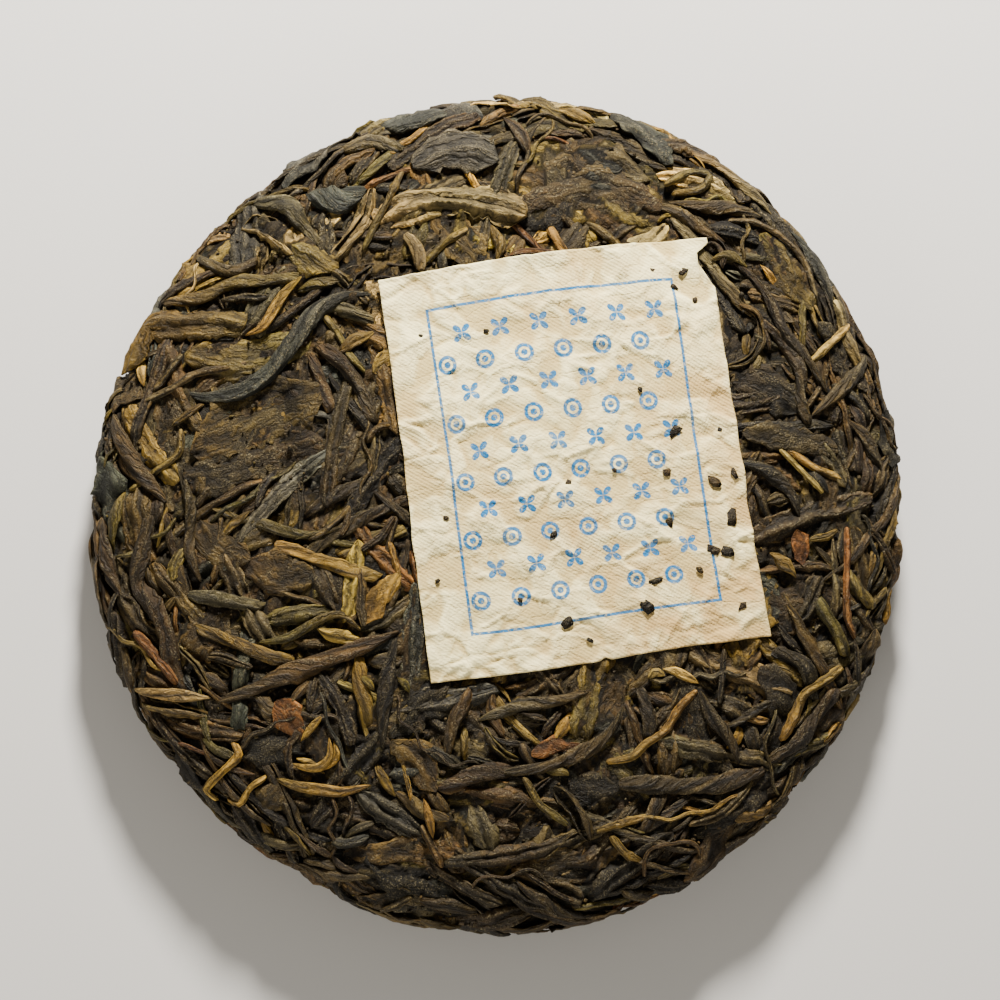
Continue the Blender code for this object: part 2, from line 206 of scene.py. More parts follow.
class Map:
    """Depth of the lowest underside, and of the highest top, over one side of the cake."""

    def __init__(self, reach, from_back):
        self.reach, self.from_back = reach, from_back
        self.cells = int(2 * reach / CELL) + 1
        self.under = np.zeros((self.cells, self.cells), np.float32)
        self.top = np.full((self.cells, self.cells), 9 * MM, np.float32)
        grid = (np.arange(self.cells) * CELL) - reach
        self.u, self.v = np.meshgrid(grid, grid, indexing="ij")

    def index(self, arc, angle):
        distance = ARC_END - arc if self.from_back else arc
        inside = distance < self.reach - CELL
        distance = np.minimum(distance, self.reach - CELL)
        i = np.rint((distance * np.cos(angle) + self.reach) / CELL).astype(int)
        j = np.rint((distance * np.sin(angle) + self.reach) / CELL).astype(int)
        return i, j, inside

    def lay(self, arc, angle, top, under):
        i, j, inside = self.index(arc, angle)
        np.maximum.at(self.under, (i[inside], j[inside]), under[inside])
        np.minimum.at(self.top, (i[inside], j[inside]), top[inside])

    def depth(self, arc, angle):
        i, j, inside = self.index(arc, angle)
        return np.where(inside, self.under[i, j], 0)


face_map, back_map = Map(FACE_REACH, False), Map(BACK_REACH, True)
print("maps of", face_map.cells, "and", back_map.cells, "cells across")

# %% The skin's own unevenness


def under_at(arc, angle):
    """How deep the lowest leaf reaches at these places; 0 where none lies yet."""
    return np.maximum(face_map.depth(arc, angle), back_map.depth(arc, angle))


def waves(seed, shortest, longest, count=9):
    """Smooth noise in two directions, about -1 to 1, with wavelengths between the two given."""
    draw = np.random.default_rng(seed)
    heading, shift = draw.uniform(0, 2 * math.pi, (2, count))
    length = np.exp(draw.uniform(math.log(shortest), math.log(longest), count))
    scale = (length / length.max()) ** 0.5

    def noise(x, y):
        total = 0
        for h, s, n, a in zip(heading, shift, length, scale):
            total = total + a * np.sin((x * math.cos(h) + y * math.sin(h)) * 2 * math.pi / n + s)
        return total / (0.75 * scale.sum() ** 0.5 * scale.max() ** 0.5)

    return noise


face_unevenness = waves(3, 9 * MM, 34 * MM)


def skin_level(arc, angle):
    """Depth that leaf tops are pressed to: uneven on the face, more so at the edge, flat at the back."""
    x, y = arc * np.cos(angle), arc * np.sin(angle)
    edge = np.clip((arc - 78 * MM) / (25 * MM), 0, 1)
    back = np.clip((arc - ARC_WAIST - 12 * MM) / (15 * MM), 0, 1)
    swing = face_unevenness(x, y)
    front = swing * (0.28 + 0.35 * edge) * MM
    return front * (1 - back) + back * (0.35 + 0.2 * np.abs(swing)) * MM


print("depth of the skin at the middle in mm", round(float(skin_level(0.0, 0.0) / MM), 2))

# %% [markdown]
# ## Leaves
#
# Dry tea leaves come in a few shapes. Many are rolled: wrung into a strand with ridges that wind along it.
# Some are rolled loosely and show the open edge of a scroll. Many were pressed into straps with a few sharp
# folds. A few stayed broad and lie flat and crumpled, with their veins showing. Buds are small pale
# spindles and stems are plain round sticks. All of them can be one kind of mesh: a closed section of about
# twenty points, swept along a line. Only the section differs. A sculpted leaf copied many times would be
# quicker, but its copies would show.

# %% What the sections share
ROLL_POINTS = 20
LEAF_POINTS = 24
STATION = 1.15 * MM
LEAF_THIN = 0.32 * MM


def ends(count, power, least):
    """How full a leaf is along its length, tapering to `least` at both ends."""
    along = np.linspace(0, 1, count)
    return least + (1 - least) * np.sin(math.pi * np.clip(along, 0.004, 0.996)) ** power


def ragged(draw, count, share, amount):
    """Uneven edges: a factor for each station, with its own chance on either side."""
    left, right = draw.normal(0, amount, (2, count, 1))
    slow = np.sin(np.linspace(0, draw.uniform(3, 9), count) + draw.uniform(0, 6))[:, None] * amount * 2.2
    return 1 + np.where(share > 0, right + slow, left - slow) * np.abs(share)


def fold_wave(x):
    """A wave with sharp crests and troughs, -1 to 1."""
    return 2 * np.abs(2 * (x / (2 * math.pi) - np.floor(x / (2 * math.pi) + 0.5))) - 1


def round_angles(crowd):
    """Angles round a section, crowded on its outward side."""
    t = np.arange(ROLL_POINTS) / ROLL_POINTS * 2 * math.pi
    return (t + crowd * np.cos(t))[None, :]


print("a strand has", ROLL_POINTS, "points round it, and a station every", round(STATION / MM, 2), "mm")

# %% [markdown]
# ### Rolled leaves
#
# A wrung leaf is a strand with three to five ridges that wind along it. An open one is a scroll: its
# section is a C with a thickness. Both are radii given by angle, so waves of the angle make their ridges.
# The points crowd on the outward side, since the inward side is never seen.

# %% Rolled and curled sections


def roll_section(draw, count, length, width, height):
    """A leaf wrung into a strand: ridges wind along it."""
    phi = round_angles(0.5)
    along = np.linspace(0, length, count)[:, None]
    wind = along / (draw.uniform(8, 24) * MM) * 2 * math.pi / 3 * draw.choice((-1, 1))
    wind = wind + 0.5 * np.sin(along / (6 * MM) + draw.uniform(0, 6))
    deep = 1 + 0.6 * np.sin(along / (draw.uniform(2, 6) * MM) + draw.uniform(0, 6))
    ridge = 0.55 * fold_wave(3 * (phi - wind) + draw.uniform(0, 6)) * deep
    ridge = ridge + 0.45 * fold_wave(5 * (phi - 0.8 * wind) + draw.uniform(0, 6))
    ridge = ridge + 0.3 * np.cos(2 * (phi - wind * 0.5) + along / (5 * MM))
    swell = 1 + 0.13 * np.sin(along / (draw.uniform(1.5, 5) * MM) + draw.uniform(0, 6))
    blunt = draw.random() < 0.45
    taper = ends(count, 0.35, 0.6) if blunt else ends(count, draw.uniform(0.6, 1.1), draw.uniform(0.10, 0.25))
    size = (1 + 0.21 * ridge) * swell * taper[:, None] * ragged(draw, count, np.cos(phi), 0.05)
    b = width / 2 * np.cos(phi) * size
    n = height / 2 * np.sin(phi) * size
    return b, n, ridge, phi - wind


def curl_section(draw, count, length, width, height):
    """A leaf rolled loosely, so that its section is an open C and one edge shows."""
    half = ROLL_POINTS // 2
    along = np.linspace(0, 1, count)[:, None]
    reach = draw.uniform(1.7, 2.75) + 0.35 * np.sin(along * draw.uniform(3, 7) + draw.uniform(0, 6))
    share = np.linspace(-1, 1, half)[None, :]
    facing = draw.uniform(0.1, 0.9) * math.pi + along * draw.uniform(-1.0, 1.0)
    angle = facing + math.pi + share * reach
    spiral = 1 - 0.22 * np.abs(share) - 0.12 * share
    size = ends(count, 0.4, 0.35)[:, None] * (1 + 0.1 * np.sin(along * draw.uniform(9, 20)))
    crease = 0.08 * fold_wave(9 * share + along * 9 + draw.uniform(0, 6))
    crease = crease + 0.06 * np.sin(along * 30 + 3 * share)
    outer = (spiral + crease) * size
    inner = outer - LEAF_THIN / (width / 2)
    rho = np.concatenate((outer, inner[:, ::-1]), 1)
    both = np.concatenate((angle, angle[:, ::-1]), 1)
    # The inside of the scroll gets a low ridge value, which the shader paints as shade.
    ridge = np.concatenate((8 * crease, 8 * crease[:, ::-1] - 0.8), 1)
    return width / 2 * rho * np.cos(both), height / 2 * rho * np.sin(both), ridge, both

# %% [markdown]
# ### Flat leaves
#
# A leaf that was pressed flat is a thin sheet: one upper line, and the same line lower down. A broad one is
# crumpled and shows its midrib. A folded one has a few sharp pleats along it. A sharp wave gives both their
# creases, because a sine would look like cloth.

# %% Broad and folded sections
FLAT_THIN = LEAF_THIN * 1.3
FOLDED_THIN = LEAF_THIN * 1.5


def sheet_section(b, rise, thin, ridge):
    """A thin closed section from its upper line."""
    low = rise - thin
    # The underside gets a low ridge value, which the shader paints as shade.
    ridge = np.concatenate((ridge + 0 * rise, ridge[:, ::-1] * 0.5 - 1 + 0 * rise), 1)
    phi = np.concatenate((b, b[:, ::-1] + 9 * MM), 1) / (1.0 * MM)
    return np.concatenate((b, b[:, ::-1]), 1), np.concatenate((rise, low[:, ::-1]), 1), ridge, phi


def leaf_section(draw, count, length, width, height):
    """A broad leaf lying flat: crumpled, with a midrib and the edges turned a little."""
    share = np.linspace(-1, 1, LEAF_POINTS // 2)[None, :]
    along = np.linspace(0, length, count)[:, None]
    size = ends(count, 0.55, 0.22)[:, None]
    edge = np.sin(along / (draw.uniform(1.2, 2.5) * MM) + 3 * share + draw.uniform(0, 6))
    size = size * (1 + 0.14 * edge * np.abs(share) ** 2) * ragged(draw, count, share, 0.10)
    b = width / 2 * share * size
    crumple = waves(int(draw.integers(1 << 30)), 5.0 * MM, 16 * MM, 8)(0.6 * along, 1.4 * b)
    lean = draw.uniform(-0.5, 0.5)
    crease = fold_wave((b + lean * along + 0.8 * MM * crumple) / (draw.uniform(2.6, 4.5) * MM) * math.pi)
    veins = fold_wave((along - 0.9 * np.abs(b)) / (4.6 * MM) * 2 * math.pi)
    rise = height * (0.30 * (1 - 2 * np.abs(crumple)) + 0.26 * crease + 0.06 * veins)
    rise = rise + height * 0.35 * np.exp(-((share / 0.10) ** 2))
    rise = rise - height * draw.uniform(0.1, 0.9) * np.abs(share) ** 3
    ridge = 0.6 * (1 - 2 * np.abs(crumple)) + 0.5 * crease + 0.2 * veins
    return sheet_section(b, rise, FLAT_THIN, ridge)


def pleat_section(draw, count, length, width, height):
    """A leaf folded lengthwise into a strap of a few sharp pleats."""
    share = np.linspace(-1, 1, LEAF_POINTS // 2)[None, :]
    along = np.linspace(0, length, count)[:, None]
    size = ends(count, draw.uniform(0.2, 0.65), draw.uniform(0.20, 0.75))[:, None]
    size = size * (1 + 0.12 * np.sin(along / (draw.uniform(2, 6) * MM) + draw.uniform(0, 6)))
    size = size * ragged(draw, count, share, 0.08)
    b = width / 2 * share * size
    drift = 1.2 * np.sin(along / (draw.uniform(5, 12) * MM) + draw.uniform(0, 6))
    pleats = fold_wave(share * draw.uniform(5, 9) + drift + draw.uniform(0, 6))
    small = fold_wave(share * 13 - 1.7 * drift + draw.uniform(0, 6))
    ripple = np.sin(along / (draw.uniform(1.2, 3) * MM) + 2 * share + draw.uniform(0, 6))
    rise = height * (0.30 * pleats + 0.10 * small + 0.10 * ripple) * size
    rise = rise + height * (0.35 - 0.75 * share**2) * size
    return sheet_section(b, rise, FOLDED_THIN, 0.8 * pleats + 0.4 * small + 0.2 * ripple)


print("flat leaves have", LEAF_POINTS, "points round them and are", round(FLAT_THIN / MM, 2), "mm thick")

# %% [markdown]
# ### Buds and stems
#
# A bud is a smooth spindle with one fold where its outer leaf wraps round. A stem is a round stick with a
# joint or two where leaves grew. Both are small, so a little uneven size along them is enough.

# %% Bud and stem sections


def bud_section(draw, count, length, width, height):
    """A bud: a smooth spindle with one fold."""
    phi = round_angles(0.3)
    along = np.linspace(0, 1, count)[:, None]
    fold = np.exp(-(((phi - 1.2 - 0.8 * along) / 0.35) ** 2))
    size = ends(count, 0.7, 0.10)[:, None] * (1 - 0.20 * fold)
    ridge = 0.4 * np.cos(4 * phi + along * 3) - fold
    return width / 2 * np.cos(phi) * size, height / 2 * np.sin(phi) * size, ridge, phi + 0 * along


def stem_section(draw, count, length, width, height):
    """A stem: a round stick with a joint or two and flattened sides."""
    phi = round_angles(0.3)
    along = np.linspace(0, 1, count)[:, None]
    joint = sum(np.exp(-(((along - draw.uniform(0.1, 0.9)) / 0.03) ** 2)) for _ in range(2))
    size = (0.86 + 0.2 * joint + 0.08 * np.sin(along * 11)) * ends(count, 0.15, 0.45)[:, None]
    ridge = 0.8 * np.cos(4 * phi + along) + 0.3 * joint
    size = size * (1 + 0.05 * np.cos(4 * phi + along))
    return width / 2 * np.cos(phi) * size, height / 2 * np.sin(phi) * size, ridge, phi + 0 * along


SECTIONS = {
    "roll": roll_section, "curl": curl_section, "pleat": pleat_section,
    "leaf": leaf_section, "bud": bud_section, "stem": stem_section,
}
THIN = ("leaf", "pleat")
print("kinds of leaf:", ", ".join(SECTIONS))

# %% [markdown]
# ## A line for each leaf
#
# A leaf is a line over the surface with a width and a height. The line is walked in small steps from its
# middle both ways, because a straight line on the flat chart would bend and stretch round the edge of the
# cake.

# %% Walking over the surface


def walk(chart, start, heading, length, bend, sway, draw):
    """A line over the surface through `start`, given as (arc, angle) pairs."""
    count = max(6, int(length / STATION))
    middle = count // 2
    step = length / (count - 1)
    phase, pitch = draw.uniform(0, 6), draw.uniform(7, 15) * MM
    points = np.zeros((count, 2))
    points[middle] = start
    for way in (1, -1):
        place = np.array(start, float)
        for i in range(middle + way, count if way > 0 else -1, way):
            t = (i - middle) * step
            course = heading + bend * t / length + sway * math.sin(t / pitch * 2 * math.pi + phase)
            distance = max(math.hypot(*place), 1e-6)
            arc = ARC_END - distance if chart else distance
            radius = max(float(np.interp(arc, ARC, ARC_R)), 0.2 * distance)
            out = place / distance
            round_ = np.array((-out[1], out[0]))
            ahead = np.array((math.cos(course), math.sin(course))) * way * step
            place = place + out * (ahead @ out) + round_ * (ahead @ round_) * distance / radius
            points[i] = place
    distance = np.hypot(points[:, 0], points[:, 1])
    arc = ARC_END - distance if chart else distance
    return arc, np.arctan2(points[:, 1], points[:, 0])


def across(arc, angle, offset):
    """Places beside a line, `offset` to its left, for offsets (stations, samples)."""
    u, v = arc * np.cos(angle), arc * np.sin(angle)
    du, dv = np.gradient(u), np.gradient(v)
    radial = (du * u + dv * v) / np.maximum(arc, 1e-6)
    round_ = (dv * u - du * v) / np.maximum(arc, 1e-6) * np.interp(arc, ARC, ARC_R) / np.maximum(arc, 1e-6)
    size = np.maximum(np.hypot(radial, round_), 1e-9)
    side_r, side_t = (-round_ / size)[:, None] * offset, (radial / size)[:, None] * offset
    radius = np.maximum(np.interp(arc, ARC, ARC_R), 0.004)[:, None]
    return np.clip(arc[:, None] + side_r, 0, ARC_END), angle[:, None] + side_t / radius

# %% [markdown]
# ## Laying one leaf
#
# At each station five points across the leaf are looked up in the maps. The leaf's own top has to stay
# under the lowest leaf there, and it can't dive faster than a leaf bends, so the depth is a slope-limited
# envelope over what each station needs. Ends that would be buried are cut off, and a leaf that would hardly
# show is not laid at all. The few that lie on the ticket are put on top of everything and leave the maps
# alone.

# %% Where a leaf fits
SIDEWAYS = np.array((-0.92, -0.5, 0.0, 0.5, 0.92))
STEEPEST = 0.75
DEEPEST = 2.0 * MM
SQUASH = 0.6 * MM
TIP_DIP = 0.35 * MM
THINNEST_LAYER = 0.7 * MM
COARSER_FROM = 24 * MM  # beyond the waist: the flat back never shows closely
laid = []


def longest_run(fits):
    """First and last station of the longest stretch that fits."""
    best, start = (0, 0), None
    for k, good in enumerate(list(fits) + [False]):
        if good and start is None:
            start = k
        if not good and start is not None:
            best = max(best, (k - start, start))
            start = None
    return best[1], best[1] + best[0]


def mark_maps(kind, arc, angle, depth, full, width, height):
    """Notes in both maps where the top and the underside of a leaf lie."""
    stations = np.arange(len(arc))
    fine = np.linspace(0, len(arc) - 1, 3 * len(arc))
    lines = arc, np.unwrap(angle), depth, full
    arc, angle, depth, full = (np.interp(fine, stations, line) for line in lines)
    side = np.linspace(-1, 1, max(5, int(width / CELL) + 2))
    spots = across(arc, angle, width / 2 * full[:, None] * side)
    if kind in THIN:
        top = depth[:, None] + 0 * side
        under = top + max(THINNEST_LAYER, 0.8 * height)
    else:
        round_part = np.sqrt(np.maximum(0, 1 - side**2))[None, :]
        body = height * full[:, None]
        top = depth[:, None] + body / 2 * (1 - round_part)
        under = depth[:, None] + body / 2 * (1 + round_part)
    under = np.maximum(under, 0.02 * MM)
    for chart in (face_map, back_map):
        chart.lay(spots[0].ravel(), spots[1].ravel(), top.ravel(), under.ravel())

# %% Laying


def lay_leaf(kind, line, width, height, proud, colour, draw, least_seen, hidden=False, above=False):
    """Puts one leaf into the stack below what lies there. Returns True if it shows enough to keep."""
    arc, angle = line
    full = ends(len(arc), 0.5, 0.35)
    places = across(arc, angle, width / 2 * full[:, None] * SIDEWAYS)
    lowest = under_at(*places) * (not above)
    crest = height / 2 * (1 - np.sqrt(1 - SIDEWAYS**2)) if kind not in THIN else 0 * SIDEWAYS
    need = (lowest - crest - SQUASH).max(1)
    first, last = longest_run(need < DEEPEST)
    seen = (lowest <= 0).mean(1)
    shown = np.nonzero(seen[first:last] > 0.15)[0] + first
    if len(shown) < 3 or seen.sum() == 0:
        return False
    first, last = max(first, shown[0] - 2), min(last, shown[-1] + 3)
    if last - first < 5 or seen[first:last].mean() < least_seen:
        return False
    arc, angle, need, full = arc[first:last], angle[first:last], need[first:last], full[first:last]
    count = last - first
    base = skin_level(arc, angle) - proud
    raw = np.maximum(base, need)
    gap = np.abs(np.arange(count)[:, None] - np.arange(count)[None, :]) * STATION * STEEPEST
    depth = (raw[None, :] - gap).max(1)
    soft = np.convolve(np.pad(depth, 2, "edge"), (0.1, 0.2, 0.4, 0.2, 0.1), "valid")
    depth = np.maximum(soft, depth - 0.1 * MM)
    depth = depth + np.abs(np.linspace(-1, 1, count)) ** 6 * TIP_DIP * (kind not in THIN)
    if not above:
        mark_maps(kind, arc, angle, depth, full, width, height)
    angle = np.unwrap(angle)
    if arc.min() > ARC_WAIST + COARSER_FROM:
        coarse = np.linspace(0, count - 1, max(5, count // 2 + 1))
        arc, angle, depth = (np.interp(coarse, np.arange(count), line) for line in (arc, angle, depth))
    if not hidden:
        laid.append({
            "kind": kind, "arc": arc, "angle": angle, "depth": depth, "above": above,
            "length": count * STATION, "width": width, "height": height,
            "colour": colour, "seed": int(draw.integers(1 << 30)),
        })
    return True


print("leaves dive at most", round(DEEPEST / MM, 1), "mm under the skin")

# %% [markdown]
# ## Colours
#
# A young cake is olive and slate with golden buds. Years of air turn it brown. This one is between the two:
# mostly dark chocolate and grey brown, some khaki, slate here and there that is partly a painted sheen, and
# a few ochre and rust pieces. Each leaf gets one of these colours, moved a little, and the shader works
# fibres into it and paints shade and highlight by ridge.

# %% Palette
PALETTE = {
    "dark": (40, 35, 29), "brown": (80, 66, 48), "umber": (61, 50, 37), "grey": (86, 78, 64),
    "khaki": (112, 100, 68), "olive": (88, 81, 52), "slate": (64, 64, 62), "ochre": (140, 113, 67),
    "gold": (178, 143, 82), "rust": (108, 73, 46), "bud": (196, 166, 116), "lime": (128, 118, 60),
    "pale": (134, 120, 94),
}


def linear(colour):
    """Light values of a colour that is given as shown on a screen."""
    value = np.array(colour) / 255
    return np.where(value < 0.04045, value / 12.92, ((value + 0.055) / 1.055) ** 2.4)


# The lamps and the view transform wash colours out, so each one is made darker and warmer first.
COMMON_WARMTH = (0.53, 0.442, 0.140)
BRIGHT_WARMTH = (0.66, 0.58, 0.24)
WARMTH = {
    "slate": (0.52, 0.49, 0.33), "grey": (0.57, 0.485, 0.22), "pale": (0.68, 0.59, 0.30),
    "ochre": BRIGHT_WARMTH, "gold": BRIGHT_WARMTH, "bud": BRIGHT_WARMTH, "rust": BRIGHT_WARMTH,
}


def tinted(name, draw, spread=0.20):
    """A palette colour as the shader takes it, a little lighter or darker by chance."""
    shade = linear(PALETTE[name]) * WARMTH.get(name, COMMON_WARMTH) * math.exp(draw.normal(0, spread))
    return shade * np.exp(draw.normal(0, 0.03, 3))


print("colours:", ", ".join(PALETTE))

# %% [markdown]
# ## Leaves that the photograph shows clearly
#
# About a hundred leaves can be told apart in the photograph. They are laid first, so that they lie on top,
# each through the pixels where it runs. A row is the kind, the width in pixels, the height as a share of
# the width, how far it stands out in tenths of a millimetre, the colour, and the pixels from one end to the
# other.

# %% Leaves over the ticket
OVER_TICKET = (
    ("curl", 10, 0.6, 14, "umber", ((702, 246), (710, 240), (719, 244), (724, 256), (722, 266))),
    ("roll", 9, 0.7, 13, "khaki", ((713, 259), (722, 255), (735, 257), (747, 266))),
)

# %% Leaves of the upper left
UPPER_LEFT = (
    ("pleat", 33, 0.30, 8, "khaki", ((112, 360), (122, 336), (146, 324), (178, 323), (211, 322), (244, 326))),
    ("roll", 20, 0.6, 6, "slate", ((377, 293), (341, 296), (312, 315), (290, 343), (268, 371),
                                   (240, 391), (206, 397), (181, 391))),
    ("stem", 8, 0.9, 6, "grey", ((144, 401), (172, 388), (195, 374), (234, 366), (245, 363))),
    ("pleat", 42, 0.14, 5, "khaki", ((190, 352), (222, 360), (256, 358), (290, 346), (312, 332))),
    ("bud", 11, 0.6, 6, "gold", ((301, 276), (284, 293), (273, 310), (262, 327), (245, 334))),
    ("stem", 8, 0.9, 7, "khaki", ((401, 172), (388, 200), (374, 226), (364, 248))),
    ("pleat", 37, 0.30, 7, "pale", ((376, 222), (405, 205), (440, 198), (485, 203), (526, 215))),
    ("pleat", 44, 0.18, 6, "slate", ((415, 168), (440, 155), (470, 150), (498, 160))),
    ("roll", 26, 0.5, 5, "slate", ((307, 192), (335, 200), (366, 186))),
    ("roll", 22, 0.5, 5, "slate", ((385, 125), (410, 119), (445, 112))),
    ("curl", 30, 0.5, 6, "pale", ((243, 222), (262, 224), (282, 238), (292, 252))),
    ("pleat", 36, 0.22, 7, "khaki", ((246, 228), (276, 240), (304, 254), (330, 272))),
    ("roll", 13, 0.7, 6, "khaki", ((161, 301), (200, 298), (228, 284), (268, 279), (298, 276))),
    ("leaf", 66, 0.03, 2, "brown", ((190, 452), (222, 434), (262, 412), (318, 382))),
    ("leaf", 50, 0.03, 1, "umber", ((184, 478), (225, 470), (270, 450), (322, 438))),
    ("bud", 10, 0.7, 6, "bud", ((133, 348), (137, 364), (141, 384))),
    ("stem", 8, 0.9, 6, "brown", ((153, 391), (168, 372), (181, 355))),
    ("roll", 19, 0.6, 8, "brown", ((110, 414), (122, 442), (141, 475), (164, 500))),
    ("stem", 8, 0.9, 6, "khaki", ((181, 430), (178, 453), (153, 472), (130, 489))),
    ("roll", 16, 0.6, 5, "grey", ((255, 200), (285, 205), (300, 222), (318, 240))),
    ("roll", 15, 0.6, 4, "grey", ((345, 150), (372, 140), (402, 148))),
    ("curl", 17, 0.6, 6, "pale", ((330, 262), (348, 240), (366, 215), (372, 188))),
    ("roll", 12, 0.7, 4, "brown", ((255, 260), (230, 270), (205, 262), (190, 250))),
    ("roll", 13, 0.7, 4, "pale", ((405, 235), (418, 250), (420, 270))),
    ("roll", 12, 0.7, 5, "khaki", ((492, 225), (500, 245), (497, 262))),
    ("roll", 14, 0.7, 5, "grey", ((318, 300), (345, 308), (372, 320))),
    ("roll", 15, 0.6, 3, "umber", ((322, 345), (345, 365), (362, 392), (372, 420))),
    ("roll", 13, 0.6, 3, "brown", ((302, 330), (322, 385), (330, 410))),
)

# %% Leaves of the upper right
UPPER_RIGHT = (
    ("leaf", 66, 0.11, 3, "umber", ((520, 215), (560, 195), (610, 190), (660, 210))),
    ("leaf", 50, 0.12, 5, "grey", ((535, 175), (575, 160), (615, 160), (650, 178))),
    ("leaf", 30, 0.06, 8, "slate", ((612, 112), (636, 124), (655, 142), (670, 165))),
    ("roll", 15, 0.7, 7, "umber", ((590, 127), (623, 136), (651, 158), (668, 167))),
    ("curl", 14, 0.6, 8, "lime", ((600, 148), (612, 140), (630, 148))),
    ("roll", 14, 0.5, 7, "lime", ((555, 108), (575, 114), (598, 122))),
    ("stem", 9, 0.9, 7, "khaki", ((666, 183), (691, 172), (710, 175), (700, 189), (674, 192))),
    ("roll", 11, 0.7, 5, "brown", ((646, 200), (680, 211), (702, 228), (722, 242))),
    ("stem", 7, 0.9, 6, "grey", ((730, 220), (758, 223), (786, 240), (806, 265), (817, 298))),
    ("roll", 14, 0.6, 9, "slate", ((797, 228), (811, 251), (825, 279), (834, 304))),
    ("leaf", 36, 0.14, 6, "olive", ((762, 234), (785, 262), (812, 310))),
    ("roll", 12, 0.8, 6, "umber", ((736, 262), (758, 282), (775, 307), (786, 332), (806, 357), (828, 391))),
    ("roll", 12, 0.8, 5, "umber", ((764, 321), (786, 343), (800, 371), (802, 400), (809, 422))),
    ("stem", 9, 0.9, 7, "bud", ((850, 325), (828, 346), (811, 363))),
    ("curl", 10, 0.6, 5, "khaki", ((741, 304), (758, 315), (761, 341), (747, 360), (727, 366))),
    ("stem", 6, 0.9, 6, "bud", ((781, 450), (803, 472), (823, 492))),
    ("roll", 14, 0.7, 8, "grey", ((814, 414), (837, 394), (859, 371), (868, 355))),
    ("leaf", 42, 0.04, 1, "dark", ((733, 382), (765, 388), (800, 412))),
    ("leaf", 30, 0.05, 1, "umber", ((745, 436), (790, 437), (838, 446))),
    ("stem", 8, 0.9, 5, "rust", ((511, 254), (535, 251), (562, 256))),
    ("stem", 10, 0.7, 6, "ochre", ((549, 224), (557, 240), (568, 258))),
    ("roll", 14, 0.6, 6, "brown", ((505, 115), (520, 130), (528, 152))),
    ("roll", 13, 0.6, 6, "grey", ((672, 200), (700, 205), (735, 208), (762, 215))),
    ("roll", 14, 0.6, 8, "pale", ((690, 150), (720, 165), (750, 190), (775, 215))),
    ("roll", 12, 0.7, 5, "pale", ((838, 300), (850, 340), (866, 372))),
    ("roll", 13, 0.7, 4, "dark", ((735, 462), (765, 470), (790, 490), (800, 515))),
    ("roll", 13, 0.7, 6, "umber", ((850, 420), (868, 440), (882, 470))),
)

# %% Leaves of the lower left
LOWER_LEFT = (
    ("bud", 9, 0.8, 9, "gold", ((292, 764), (306, 768), (320, 767), (330, 756), (329, 739))),
    ("bud", 8, 0.8, 8, "gold", ((312, 772), (328, 765), (337, 756), (334, 741))),
    ("bud", 8, 0.7, 7, "gold", ((301, 741), (312, 727), (323, 715))),
    ("bud", 12, 0.7, 7, "ochre", ((273, 778), (296, 786), (321, 790), (343, 792), (369, 786))),
    ("stem", 9, 0.9, 8, "gold", ((234, 744), (238, 756), (222, 772), (206, 788), (200, 800), (208, 808))),
    ("stem", 7, 0.9, 7, "gold", ((265, 778), (250, 788), (240, 804), (228, 800))),
    ("stem", 11, 0.9, 6, "rust", ((134, 632), (150, 651), (164, 668), (175, 684))),
    ("roll", 12, 0.6, 8, "pale", ((127, 694), (158, 694), (183, 696), (209, 698))),
    ("curl", 16, 0.6, 8, "khaki", ((132, 708), (172, 710), (204, 716))),
    ("roll", 18, 0.7, 8, "umber", ((147, 517), (139, 556), (136, 584), (152, 604), (167, 635),
                                   (172, 668), (183, 694))),
    ("roll", 19, 0.7, 6, "brown", ((217, 703), (242, 694), (273, 680), (307, 666), (341, 654),
                                   (377, 640), (397, 632))),
    ("roll", 13, 0.6, 4, "khaki", ((197, 629), (228, 640), (256, 651), (301, 663), (343, 657))),
    ("roll", 10, 0.7, 5, "khaki", ((256, 643), (290, 637), (318, 621), (341, 615), (360, 629))),
    ("leaf", 24, 0.08, 5, "gold", ((366, 624), (380, 600), (398, 572))),
    ("leaf", 28, 0.06, 2, "rust", ((278, 700), (290, 716), (302, 736))),
    ("roll", 15, 0.7, 5, "dark", ((397, 635), (388, 674), (383, 713), (383, 747))),
    ("leaf", 34, 0.05, 3, "brown", ((392, 740), (414, 758), (436, 792))),
    ("bud", 9, 0.7, 6, "ochre", ((424, 800), (429, 818), (433, 838))),
    ("roll", 12, 0.7, 6, "grey", ((290, 870), (329, 876), (369, 879))),
    ("leaf", 40, 0.04, 1, "brown", ((200, 520), (215, 545), (250, 560))),
    ("leaf", 44, 0.04, 1, "brown", ((245, 560), (275, 575), (315, 575))),
    ("roll", 14, 0.7, 4, "grey", ((188, 595), (225, 600), (262, 606))),
    ("roll", 12, 0.7, 4, "umber", ((180, 470), (190, 510), (188, 548), (200, 580))),
    ("bud", 8, 0.6, 5, "lime", ((360, 676), (368, 682), (374, 690))),
    ("bud", 8, 0.6, 5, "lime", ((398, 678), (405, 684), (409, 692))),
    ("roll", 14, 0.6, 8, "umber", ((98, 520), (104, 556), (118, 596))),
)

